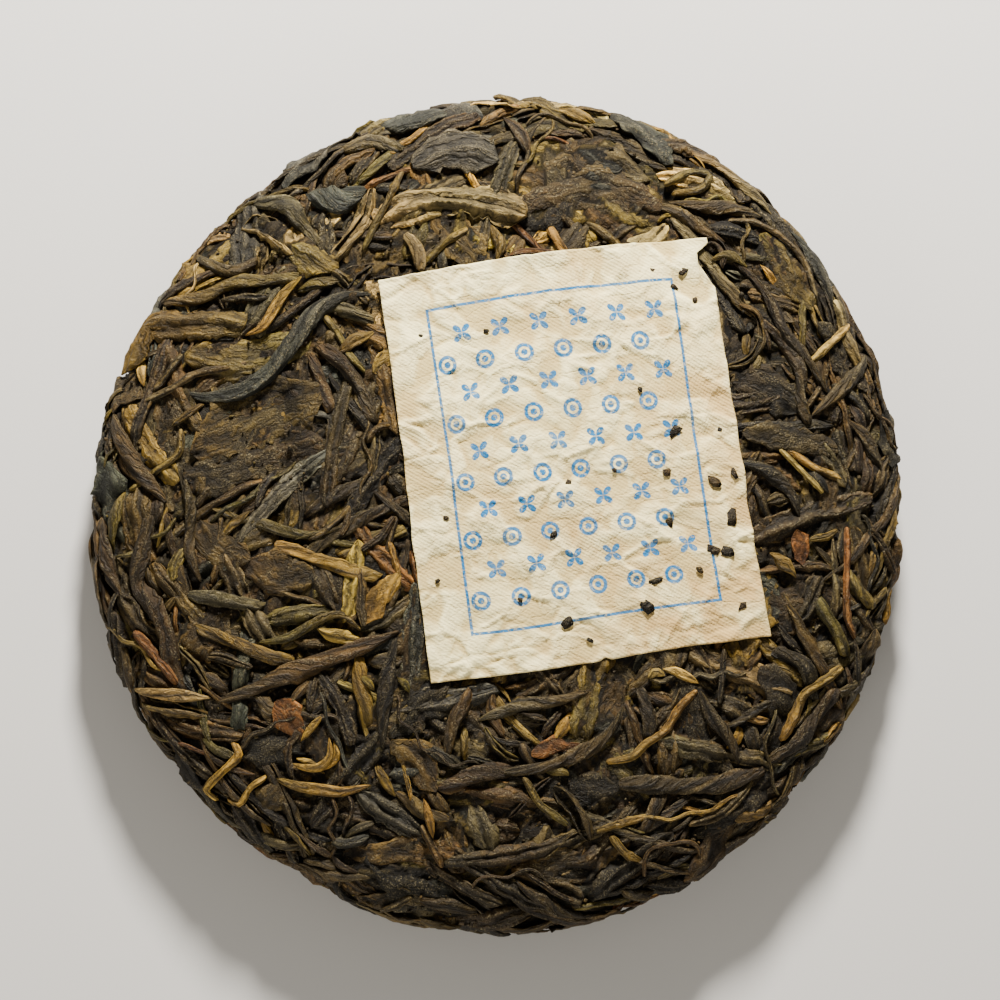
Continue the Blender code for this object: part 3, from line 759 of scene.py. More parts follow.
# %% Leaves of the lower right
LOWER_RIGHT = (
    ("bud", 10, 0.7, 8, "bud", ((664, 669), (675, 671), (687, 677), (699, 683))),
    ("bud", 9, 0.7, 7, "bud", ((648, 678), (656, 672), (665, 676))),
    ("stem", 9, 0.9, 7, "ochre", ((696, 691), (680, 708), (666, 730), (646, 744), (632, 757), (608, 762))),
    ("stem", 11, 0.8, 7, "ochre", ((842, 668), (823, 682), (806, 694), (797, 713), (783, 740))),
    ("roll", 15, 0.8, 6, "dark", ((775, 651), (803, 663), (814, 682), (817, 699))),
    ("leaf", 36, 0.05, 3, "dark", ((758, 672), (778, 688), (800, 712))),
    ("stem", 8, 0.9, 6, "rust", ((848, 528), (848, 556), (847, 584), (848, 618), (856, 637))),
    ("leaf", 20, 0.08, 4, "rust", ((797, 530), (801, 546), (803, 566))),
    ("roll", 16, 0.7, 8, "khaki", ((846, 570), (858, 588), (874, 608))),
    ("roll", 17, 0.7, 5, "umber", ((621, 783), (657, 786), (696, 786), (733, 781), (764, 771))),
    ("stem", 8, 0.8, 6, "ochre", ((598, 831), (623, 823), (646, 818))),
    ("stem", 8, 0.8, 5, "khaki", ((525, 778), (539, 803), (553, 814), (567, 825))),
    ("stem", 9, 0.8, 5, "khaki", ((612, 837), (626, 854), (640, 861))),
    ("roll", 13, 0.7, 5, "umber", ((500, 772), (534, 769), (562, 761), (593, 747), (612, 730), (623, 708))),
    ("leaf", 22, 0.06, 3, "rust", ((532, 752), (558, 746), (584, 744))),
    ("roll", 16, 0.7, 5, "umber", ((440, 790), (475, 775), (515, 770))),
    ("roll", 15, 0.7, 5, "umber", ((700, 690), (712, 715), (730, 740), (740, 765))),
    ("roll", 13, 0.7, 4, "dark", ((640, 690), (650, 715), (648, 740))),
    ("roll", 14, 0.7, 6, "olive", ((818, 600), (836, 630), (846, 655))),
    ("roll", 15, 0.7, 6, "umber", ((772, 760), (800, 740), (822, 712), (838, 690))),
    ("roll", 14, 0.7, 4, "grey", ((480, 720), (520, 705), (560, 700), (590, 690))),
    ("curl", 20, 0.5, 3, "brown", ((555, 790), (575, 812), (590, 840))),
    ("roll", 12, 0.7, 4, "brown", ((470, 690), (455, 720), (447, 755))),
)

# %% Laying the leaves by pixel
BY_PIXEL = OVER_TICKET + UPPER_LEFT + UPPER_RIGHT + LOWER_LEFT + LOWER_RIGHT
ON_TOP_FROM = 12  # a leaf that stands out further than this lies on the ticket
FLAT_LEAF_RISE = 0.3 * MM


def through(pixels):
    """A smooth line over the surface through points of the photograph."""
    seen = [seen_at(*p) for p in pixels]
    knots = np.array([(a * math.cos(t), a * math.sin(t)) for a, t in seen])
    ahead = np.concatenate((2 * knots[:1] - knots[1:2], knots, 2 * knots[-1:] - knots[-2:-1]))
    rows = []
    for k in range(len(knots) - 1):
        p, q, r, s = ahead[k : k + 4]
        t = np.linspace(0, 1, 12, endpoint=False)[:, None]
        square, cube = 2 * p - 5 * q + 4 * r - s, 3 * q - p - 3 * r + s
        rows.append(0.5 * (2 * q + (r - p) * t + square * t**2 + cube * t**3))
    curve = np.concatenate(rows + [knots[-1:]])
    length = np.concatenate(([0], np.cumsum(np.hypot(*np.diff(curve, axis=0).T))))
    even = np.linspace(0, length[-1], max(6, int(length[-1] / STATION)))
    u, v = np.interp(even, length, curve[:, 0]), np.interp(even, length, curve[:, 1])
    return np.hypot(u, v), np.unwrap(np.arctan2(v, u))


draw = np.random.default_rng(11)
for kind, width, share, proud, colour, pixels in BY_PIXEL:
    wide = width * PIXEL
    high = wide * share + FLAT_LEAF_RISE * (kind == "leaf")
    lay_leaf(kind, through(pixels), wide, high, proud * 0.1 * MM, tinted(colour, draw, 0.08), draw, 0.08,
             above=proud > ON_TOP_FROM)
print("leaves by pixel:", len(laid), "of", len(BY_PIXEL))

# %% [markdown]
# ## The rest of the leaves
#
# The rest are drawn by chance. Broken bits and thin threads come first, because they ended up on top. Each
# leaf after them starts at a spot that is still bare, which fills the surface with the fewest leaves. On
# the face they lie every way, and round the edge they follow it, because the bag's pull laid them so. Under
# the ticket nothing shows, so leaves are laid there only as a bed for the paper to take its bumps from, and
# are not modelled.

# %% Where the ticket lies
TICKET_CORNERS = ((378, 281), (706, 238), (771, 636), (431, 683))  # pixels, from the top left, clockwise


def flat_place(pixels):
    """Where a point of the photograph lies on the flat chart of the face."""
    arc, angle = seen_at(*pixels)
    return arc * math.cos(angle), arc * math.sin(angle)


ticket_chart = np.array([flat_place(p) for p in TICKET_CORNERS])


def ticket_inset(u, v):
    """How far inside the ticket's edges a place of the face lies; negative outside."""
    inset = np.full(np.shape(u), 1.0)
    for a, b in zip(ticket_chart, np.roll(ticket_chart, -1, 0)):
        side = b - a
        side = side / np.hypot(*side)
        inset = np.minimum(inset, (u - a[0]) * side[1] - (v - a[1]) * side[0])
    return inset


print("ticket on the chart, in mm:", [[round(float(n / MM)) for n in place] for place in ticket_chart])

# %% [markdown]
# ### A colour by region
#
# The cake isn't one colour all over: the top of the face is greyer and lighter, the left browner, and the
# right and bottom darker. One list of odds is changed by region, which is simpler than painting a map. Part
# of it is painted light: the greyer, paler leaves and the wider spread of colours towards the top partly
# stand for sheen and highlights on the lamp side, and the darkening of the lower part is painted shade.

# %% Odds of the colours
BRIGHT = ("ochre", "gold", "rust")
TOP_FROM, BOTTOM_FROM = 0.045, -0.04  # metres up and down from the middle
LEFT_FROM, RIGHT_FROM = -0.04, 0.05  # and across


def colour_at(u, v, draw, plain):
    """The colour of a leaf here; a plain one is never ochre, gold or rust."""
    weight = dict(dark=2.2, brown=2.6, umber=3.4, grey=2.2, khaki=1.1, olive=0.7, slate=0.6)
    weight.update(ochre=0.35, rust=0.22, gold=0.12)
    # Towards the top: partly the leaves' own greys, partly painted sheen and highlight.
    if v > TOP_FROM:
        weight.update(slate=1.5, grey=2.8, khaki=1.8, dark=1.8, pale=1.5)
    if u < LEFT_FROM:
        weight.update(brown=3.6, khaki=1.6, dark=1.5)
    if u > RIGHT_FROM:
        weight.update(dark=3.6, umber=4.0, khaki=0.8)
    if v < BOTTOM_FROM:
        weight.update(dark=3.2, umber=4.6, ochre=0.35, gold=0.15, olive=1.0, khaki=0.5)
    names = [name for name in weight if not plain or name not in BRIGHT]
    odds = np.array([weight[n] for n in names])
    # Painted light: the spread of light and dark widens towards the top, and the lower part of the face is
    # made darker as painted shade.
    spread = 0.10 + 0.38 * float(np.clip((v + 0.02) / 0.07, 0, 1))
    light = math.exp(draw.normal(0.04, spread)) * (0.86 + 0.14 * float(np.clip((v + 0.09) / 0.05, 0, 1)))
    return tinted(names[draw.choice(len(names), p=odds / odds.sum())], draw) * light


print("a leaf at the top:", colour_at(0.0, 0.08, np.random.default_rng(1), True).round(3))

# %% [markdown]
# ### A leaf by chance
#
# Folded leaves are the most common, then rolled ones. The middle was pressed hardest, so broad leaves are
# more common there, and near the edge the leaves get narrower, turn round it and stand out a little.

# %% A leaf of a likely kind and size
KINDS = ("roll", "pleat", "curl", "leaf", "stem", "bud")
PRESSED_ODDS = (0.18, 0.42, 0.06, 0.24, 0.08, 0.02)
LOOSE_ODDS = (0.26, 0.42, 0.13, 0.12, 0.05, 0.02)
BIT_KINDS = ("roll", "pleat", "curl", "stem")
BUD_COLOURS = ("ochre", "gold", "khaki")
STEM_COLOURS = ("brown", "khaki", "umber", "ochre", "brown", "khaki", "rust")
EDGE_BEND = 0.9


def random_leaf(chart, u, v, draw, small):
    """A leaf of a likely kind and size through a place of the face (chart 0) or the back (chart 1)."""
    distance = math.hypot(u, v)
    arc = ARC_END - distance if chart else distance
    edge = float(np.clip((arc - 72 * MM) / (18 * MM), 0, 1)) * float(arc < ARC_END - 60 * MM)
    pressed = not chart and distance < 74 * MM
    kind = draw.choice(KINDS, p=PRESSED_ODDS if pressed else LOOSE_ODDS)
    swing = 1.5 - 0.75 * edge
    heading = math.atan2(v, u) + math.pi / 2 + draw.uniform(-swing, swing)
    if small:
        kind = draw.choice(BIT_KINDS, p=(0.4, 0.42, 0.08, 0.1))
    length, width, share = {  # length and width in mm, and height as a share of the width
        "roll": (draw.uniform(18, 50), draw.uniform(1.9, 4.2), draw.uniform(0.36, 0.66)),
        "pleat": (draw.uniform(18, 44), draw.uniform(3.8, 9.5), draw.uniform(0.18, 0.32)),
        "curl": (draw.uniform(18, 40), draw.uniform(3.4, 6.0), draw.uniform(0.4, 0.6)),
        "leaf": (draw.uniform(20, 42), draw.uniform(7, 14), draw.uniform(0.08, 0.13)),
        "stem": (draw.uniform(14, 36), draw.uniform(1.6, 2.4), 0.9),
        "bud": (draw.uniform(9, 14), draw.uniform(1.9, 2.8), 0.75),
    }[kind]
    width = width * (1 - 0.22 * edge)
    if small:
        length, width = length * 0.6, width * 0.7
    colour = colour_at(u, v, draw, kind in THIN and width > 5)
    if kind == "bud":
        colour = tinted(draw.choice(BUD_COLOURS), draw)
    if kind == "stem":
        colour = tinted(draw.choice(STEM_COLOURS), draw)
    bend = draw.normal(0, 0.35) + edge * length * MM / max(distance, 0.02) * EDGE_BEND
    proud = draw.uniform(-2.0, 3.5) + edge * draw.uniform(-3.0, 8.0)
    if chart and not edge:
        proud = min(proud, 0.5)
    line = walk(chart, (u, v), heading, length * MM, bend, draw.uniform(0.02, 0.16), draw)
    return kind, line, width * MM, width * share * MM, proud * 0.1 * MM, colour


print("folded leaves among the loose ones:", LOOSE_ODDS[KINDS.index("pleat")])

# %% Filling
LEAVES_FACE = 900
LEAVES_BACK = 330
FACE_FILLED = 132 * MM  # arc length from the middle of the face, a little past the waist
BACK_FILLED = 98 * MM
BITS = 330
BITS_REACH = 128 * MM
UNDER_TICKET = 5 * MM
PROUD_BY_TICKET = -0.3 * MM


def fill(chart, wanted, seed, reach, small_after):
    """Lays leaves at bare spots until `wanted` lie there or no bare spot is left."""
    draw = np.random.default_rng(seed)
    chart_map = back_map if chart else face_map
    distance = np.hypot(chart_map.u, chart_map.v)
    added = tries = 0
    while added < wanted and tries < wanted * 4:
        bare = np.argwhere((chart_map.under <= 0) & (distance < reach))
        if len(bare) < 60:
            break
        picks = bare[draw.integers(len(bare), size=25)]
        for i, j in picks:
            tries += 1
            u, v = chart_map.u[i, j], chart_map.v[i, j]
            if chart_map.under[i, j] > 0:
                continue
            small = added > small_after * wanted
            kind, line, width, height, proud, colour = random_leaf(chart, u, v, draw, small)
            hidden = False
            if not chart:
                inset = ticket_inset(line[0] * np.cos(line[1]), line[0] * np.sin(line[1]))
                hidden = bool(inset.min() > UNDER_TICKET)
                if inset.max() > -2 * MM and not hidden:
                    proud = min(proud, PROUD_BY_TICKET)
            added += lay_leaf(kind, line, width, height, proud, colour, draw, 0.32, hidden)
    bare_share = ((chart_map.under <= 0) & (distance < reach)).sum() / (distance < reach).sum()
    print("chart", chart, "leaves", added, "of", tries, "tries, still bare", round(float(bare_share), 3))

# %% Bits and threads


def scatter(count, seed):
    """Broken bits and thin curled threads that lie on top of the rest of the face."""
    draw = np.random.default_rng(seed)
    added = 0
    for k in range(count):
        distance, around = BITS_REACH * math.sqrt(draw.random()), draw.uniform(0, 2 * math.pi)
        u, v = distance * math.cos(around), distance * math.sin(around)
        thread = k % 4 == 0
        kind = "stem" if thread else draw.choice(BIT_KINDS, p=(0.30, 0.48, 0.12, 0.10))
        length = draw.uniform(13, 34) if thread else draw.uniform(7, 14)
        width = draw.uniform(0.8, 1.35) if thread else draw.uniform(1.3, 3.6)
        share = {"pleat": 0.32, "stem": 0.9}.get(kind, 0.6)
        edge = float(np.clip((distance - 80 * MM) / (18 * MM), 0, 1))
        heading = around + math.pi / 2 + draw.uniform(-1.5, 1.5) * (1 - 0.5 * edge)
        bend, sway = (draw.normal(0, 1.0), draw.uniform(0.2, 0.6)) if thread else (draw.normal(0, 0.5), 0.1)
        line = walk(0, (u, v), heading, length * MM, bend, sway, draw)
        if ticket_inset(line[0] * np.cos(line[1]), line[0] * np.sin(line[1])).max() > -1.5 * MM:
            continue
        colour = colour_at(u, v, draw, False)
        if draw.random() < (0.35 if v > -30 * MM else 0.15):
            colour = tinted(draw.choice(("khaki", "ochre", "olive", "brown")), draw)
        proud = draw.uniform(0.0, 5.0) * 0.1 * MM
        added += lay_leaf(kind, line, width * MM, width * share * MM, proud, colour, draw, 0.45)
    print("bits and threads", added, "of", count)

# %% All the rest in order
scatter(BITS, 25)
fill(0, LEAVES_FACE, 5, FACE_FILLED, 0.66)
fill(1, LEAVES_BACK, 6, BACK_FILLED, 0.55)
print("leaves in all:", len(laid))

# %% [markdown]
# ## The bed under the ticket
#
# The paper lies on the leaf tops and sags a little between them. So its bed is the highest leaf top nearby,
# softened. Nothing under it may stand higher than that.

# %% Bed
BED_CLEARANCE = 0.30 * MM


def blurred(field, radius, rounds=3):
    """A box blur, repeated so that it is close to a round one."""
    window = 2 * radius + 1
    for _ in range(rounds):
        for axis in (0, 1):
            pad = [(0, 0), (0, 0)]
            pad[axis] = (radius + 1, radius)
            sums = np.cumsum(np.pad(field, pad, "edge"), axis=axis, dtype=np.float64)
            size = sums.shape[axis]
            ahead = np.take(sums, range(window, size), axis)
            behind = np.take(sums, range(size - window), axis)
            field = (ahead - behind) / window
    return field


def lowered(field, cells):
    """The least value within this many cells."""
    for axis in (0, 1):
        rolled = [np.roll(field, k, axis) for k in range(-cells, cells + 1)]
        field = np.minimum.reduce(rolled)
    return field


bed = lowered(np.minimum(face_map.top, 1.0 * MM), 3)
bed = blurred(bed, 3, 2)


def bed_at(u, v):
    """Depth of the paper's bed at places of the face."""
    i = np.clip((u + FACE_REACH) / CELL, 0, face_map.cells - 2)
    j = np.clip((v + FACE_REACH) / CELL, 0, face_map.cells - 2)
    a, b = i.astype(int), j.astype(int)
    x, y = i - a, j - b
    return (bed[a, b] * (1 - x) * (1 - y) + bed[a + 1, b] * x * (1 - y)
            + bed[a, b + 1] * (1 - x) * y + bed[a + 1, b + 1] * x * y)


def kept_under_paper(verts):
    """The same vertices, lowered where they would come through the ticket."""
    x, y = verts[..., 0] - CAKE_MIDDLE[0], verts[..., 1] - CAKE_MIDDLE[1]
    angle = np.arctan2(y, x)
    waist = int(ARC_WAIST / TABLE_STEP)
    arc = np.interp(np.hypot(x, y) / (1 + lobes(angle)), ARC_R[:waist], ARC[:waist])
    u, v = arc * np.cos(angle), arc * np.sin(angle)
    ceiling = skin(arc, angle, bed_at(u, v) + BED_CLEARANCE)[0][..., 2]
    covered = (ticket_inset(u, v) > -0.3 * MM) & (verts[..., 2] > WAIST_HEIGHT)
    lower = np.where(covered, np.minimum(verts[..., 2], ceiling), verts[..., 2])
    return np.concatenate((verts[..., :2], lower[..., None]), -1)


print("deepest bed in mm", round(float(bed.max() / MM), 2))

# %% [markdown]
# ## From lines to meshes
#
# Over a thousand objects would be slow, so the leaves of one kind are joined into one mesh. Each vertex
# carries three things for the shader: its colour, how high it stands on its ridge, and a place along and
# round its own leaf that the fibres are drawn from. The same place also gives an atlas for baking, with one
# cell for each leaf.

# %% Colours and fibres of one leaf
# Painted highlight: the thin edges of flat leaves made lighter, as where they catch the light.
EDGE_HIGHLIGHT = np.array((0.85, 0.80, 0.60))  # how much lighter the thin edges of flat leaves are
END_LIGHT = 0.5
END_REACH = 1.6 * MM


def leaf_values(leaf, draw, b, phi, thin):
    """The colour of each point, and its place along and round its leaf for the fibres."""
    count, points = b.shape
    along = np.linspace(0, leaf["length"], count)[:, None]
    shift = draw.uniform(-1, 1, 3) * 3
    run, half = along / MM + 0 * b, leaf["width"] / 2
    round_it = (phi, 0 * phi) if thin else (np.cos(phi) * half / MM, np.sin(phi) * half / MM)
    grain = np.stack((*round_it, run), -1) + shift * 20
    patch = 1 + 0.16 * np.sin(along / (draw.uniform(4, 12) * MM) + draw.uniform(0, 6))
    warm = 1 + 0.10 * np.sin(along / (draw.uniform(5, 14) * MM) + draw.uniform(0, 6))
    end = np.exp(-np.minimum(along, leaf["length"] - along) / END_REACH)
    tint = leaf["colour"][None, None, :] * patch[..., None]
    tint = tint * np.stack((warm, np.ones_like(warm), 2 - warm), -1)
    tint = tint * (1 + END_LIGHT * end[..., None]) + 0 * b[..., None]
    # Painted highlight along the thin edges of flat leaves.
    if thin:
        rim = np.abs(np.concatenate((np.linspace(-1, 1, points // 2), np.linspace(1, -1, points // 2)))) ** 5
        tint = tint * (1 + rim[None, :, None] * EDGE_HIGHLIGHT)
    return tint, grain

# %% Faces of one leaf


def leaf_faces(count, points):
    """Quads along a leaf, triangles that close its ends, and an atlas place for each of their corners."""
    ring = np.arange(points)
    nxt = (ring + 1) % points
    base = np.arange(count - 1)[:, None] * points
    quads = np.stack((base + ring, base + nxt, base + points + nxt, base + points + ring), -1).reshape(-1, 4)
    first, last = count * points, count * points + 1
    end_row = (count - 1) * points
    caps = np.concatenate((
        np.stack((nxt, ring, np.full(points, first)), -1),
        np.stack((end_row + ring, end_row + nxt, np.full(points, last)), -1),
    ))
    row = np.arange(count - 1)[:, None]
    top, low = (row + 1) / count, row / count
    left, right = (ring / points)[None, :], ((ring + 1) / points)[None, :]
    uv_quads = np.stack([
        np.stack((x + 0 * y, y + 0 * x), -1)
        for x, y in ((left, low), (right, low), (right, top), (left, top))], 2).reshape(-1, 2)
    cap_across = np.stack((right[0], left[0], left[0]), -1)
    uv_caps = np.concatenate([
        np.stack((cap_across, np.full((points, 3), v)), -1).reshape(-1, 2) for v in (0.0, 1.0)])
    return quads, caps, np.concatenate((uv_quads, uv_caps))


print("a leaf of 10 stations has", len(leaf_faces(10, ROLL_POINTS)[0]), "quads")

# %% One leaf as arrays
CRUMPLE = 0.15 * MM
CRUMPLE_LENGTHS = (2.2, 5.5)  # shortest and longest wave, in mm
crumple_draw = np.random.default_rng(8)
CRUMPLE_WAVES = crumple_draw.normal(0, 1, (7, 3))
crumple_sizes = np.linalg.norm(CRUMPLE_WAVES, axis=1, keepdims=True)
CRUMPLE_WAVES *= 2 * math.pi / (crumple_draw.uniform(*CRUMPLE_LENGTHS, (7, 1)) * MM) / crumple_sizes
CRUMPLE_SHIFTS = crumple_draw.uniform(0, 6, 7)


def sweep(leaf):
    """Vertices, colours, ridge, grain and faces of one leaf."""
    draw = np.random.default_rng(leaf["seed"])
    count, height, thin = len(leaf["arc"]), leaf["height"], leaf["kind"] in THIN
    b, n, ridge, phi = SECTIONS[leaf["kind"]](draw, count, leaf["length"], leaf["width"], height)
    ridge, phi = ridge + 0 * b, phi + 0 * b
    middle, normal = skin(leaf["arc"], leaf["angle"], leaf["depth"] + height * (0.35 if thin else 0.5))
    ahead = np.gradient(middle, axis=0)
    ahead /= np.linalg.norm(ahead, axis=1, keepdims=True)
    side = np.cross(ahead, normal)
    side /= np.linalg.norm(side, axis=1, keepdims=True)
    normal = np.cross(side, ahead)
    if not thin:  # pressed level on its outward side
        high = height / 2
        n = np.where(n > 0, high * np.tanh(n / high * 1.1) / math.tanh(1.1), n)
    verts = middle[:, None, :] + side[:, None, :] * b[..., None] + normal[:, None, :] * n[..., None]
    t = np.linspace(-1, 1, count)[:, None]
    lean_last, lean_first, notch = draw.uniform(-0.8, 0.8), draw.uniform(-0.8, 0.8), draw.uniform(0, 0.8)
    torn = b * (lean_last * np.maximum(t, 0) ** 4 + lean_first * np.maximum(-t, 0) ** 4)
    torn = torn - np.sign(t) * np.abs(b) * notch * np.abs(t) ** 4 * thin
    verts = verts + ahead[:, None, :] * torn[..., None]
    beyond = height * 0.25
    tips = np.stack((middle[0] - ahead[0] * beyond, middle[-1] + ahead[-1] * beyond))
    tips[:, 2] = np.maximum(tips[:, 2], 0.0)
    tint, grain = leaf_values(leaf, draw, b, phi, thin)
    bumps = sum(np.sin(verts @ k + s) for k, s in zip(CRUMPLE_WAVES, CRUMPLE_SHIFTS))
    bumps = bumps / len(CRUMPLE_WAVES) ** 0.5
    verts = verts + normal[:, None, :] * (bumps * CRUMPLE * (b * 0 + 1))[..., None]
    if not leaf["above"]:
        verts = kept_under_paper(verts)
    verts[..., 2] = np.maximum(verts[..., 2], 0.0)  # what stands lowest is flattened by the board it dried on
    quads, caps, uv = leaf_faces(count, b.shape[1])

    def with_tips(values, width):
        body = values.reshape(-1, width)
        return np.concatenate((body, body[:1], body[-1:]))

    return {
        "verts": np.concatenate((verts.reshape(-1, 3), tips)),
        "tint": with_tips(tint, 3), "ridge": with_tips(ridge, 1), "grain": with_tips(grain, 3),
        "quads": quads, "caps": caps, "uv": uv,
    }


print("crumple of", round(CRUMPLE / MM, 2), "mm from", len(CRUMPLE_WAVES), "waves")

# %% A mesh from arrays


def new_object(name, mesh):
    made = bpy.data.objects.new(name, mesh)
    bpy.context.scene.collection.objects.link(made)
    return made


def filled_mesh(name, verts, loops, sizes, tints, ridges, grains):
    """A mesh from arrays, with the three values that the shader reads."""
    mesh = bpy.data.meshes.new(name)
    mesh.vertices.add(len(verts))
    mesh.vertices.foreach_set("co", verts.astype(np.float32).ravel())
    mesh.loops.add(len(loops))
    mesh.loops.foreach_set("vertex_index", loops.astype(np.int32))
    mesh.polygons.add(len(sizes))
    mesh.polygons.foreach_set("loop_start", np.concatenate(([0], np.cumsum(sizes)[:-1])).astype(np.int32))
    mesh.update(calc_edges=True)
    mesh.shade_smooth()
    tints = np.concatenate((tints, np.ones((len(tints), 1))), 1)
    for key, kind, field, values in (
        ("Tint", "FLOAT_COLOR", "color", tints),
        ("Ridge", "FLOAT", "value", ridges),
        ("Grain", "FLOAT_VECTOR", "vector", grains),
    ):
        attribute = mesh.attributes.new(key, kind, "POINT")
        attribute.data.foreach_set(field, values.astype(np.float32).ravel())
    return mesh

# %% Many leaves as one mesh
MOST_TRIANGLES = 190000
CELL_MARGIN = 0.06


def joined(name, leaves):
    """One mesh object out of many leaves."""
    parts = [sweep(leaf) for leaf in leaves]
    start = np.cumsum([0] + [len(p["verts"]) for p in parts[:-1]])
    verts, tints, ridges, grains = (
        np.concatenate([p[key] for p in parts]) for key in ("verts", "tint", "ridge", "grain"))
    corners = [np.concatenate((p["quads"].ravel(), p["caps"].ravel())) for p in parts]
    loops = np.concatenate([c + s for c, s in zip(corners, start)])
    sizes = np.concatenate([np.repeat((4, 3), (len(p["quads"]), len(p["caps"]))) for p in parts])
    mesh = filled_mesh(name, verts, loops, sizes, tints, ridges, grains)
    columns = max(1, int(math.ceil(math.sqrt(len(parts) * 3))))
    rows = int(math.ceil(len(parts) / columns))
    cells = [np.array((k % columns, k // columns)) for k in range(len(parts))]
    spots = [(cell + CELL_MARGIN + (1 - 2 * CELL_MARGIN) * p["uv"]) / (columns, rows)
             for cell, p in zip(cells, parts)]
    atlas = mesh.uv_layers.new(name="OFBake")
    atlas.uv.foreach_set("vector", np.concatenate(spots).astype(np.float32).ravel())
    print(name, "leaves", len(parts), "triangles", int((sizes - 2).sum()))
    return new_object(name, mesh)


def triangles_of(leaf):
    points = LEAF_POINTS if leaf["kind"] in THIN else ROLL_POINTS
    return (len(leaf["arc"]) - 1) * points * 2 + 2 * points


def split_by_size(leaves):
    groups, total = [[]], 0
    for leaf in leaves:
        size = triangles_of(leaf)
        if total + size > MOST_TRIANGLES:
            groups.append([])
            total = 0
        groups[-1].append(leaf)
        total += size
    return groups


def kind_side(leaf):
    return "back" if np.mean(leaf["arc"]) > ARC_WAIST + 10 * MM else "face"

# %% The leaf pieces
KIND_WORDS = {
    "roll": "rolled_leaves", "pleat": "folded_leaves", "curl": "curled_leaves", "leaf": "broad_leaves",
    "bud": "buds", "stem": "stems",
}
leaf_pieces = []
for kind, words in KIND_WORDS.items():
    for side in ("face", "back"):
        chosen = [leaf for leaf in laid if leaf["kind"] == kind and kind_side(leaf) == side]
        if not chosen:
            continue
        groups = split_by_size(chosen)
        for number, group in enumerate(groups):
            name = f"{words}_{side}" + (f"_{number + 1}" if len(groups) > 1 else "")
            leaf_pieces.append(joined(name, group))

# %% [markdown]
# ## The pressed mass
#
# Only the top leaves can be told apart. Between them lies a welded mass of flattened leaf, with the edges
# of many scraps still showing. It is modelled as a relief map: scraps with their own folds are printed one
# over another, as paint is laid, and each one follows what is under it only in part. The map is then hung
# on the envelope, kept below every leaf laid before, and closed to a solid. One solid makes the face and
# one the back.

# %% Relief of scraps
MASS_DEPTH = 1.05 * MM
MASS_DEEPER_EDGE = 0.55 * MM
SCRAP_THICK = 0.34 * MM
SCRAP_FOLD = 0.28 * MM
SCRAP_EDGE_HIGHLIGHT = np.array((1.0, 0.94, 0.7))
GAP_DEPTH = 0.2 * MM
RELIEF_LIMITS = (-1.1 * MM, 0.75 * MM)


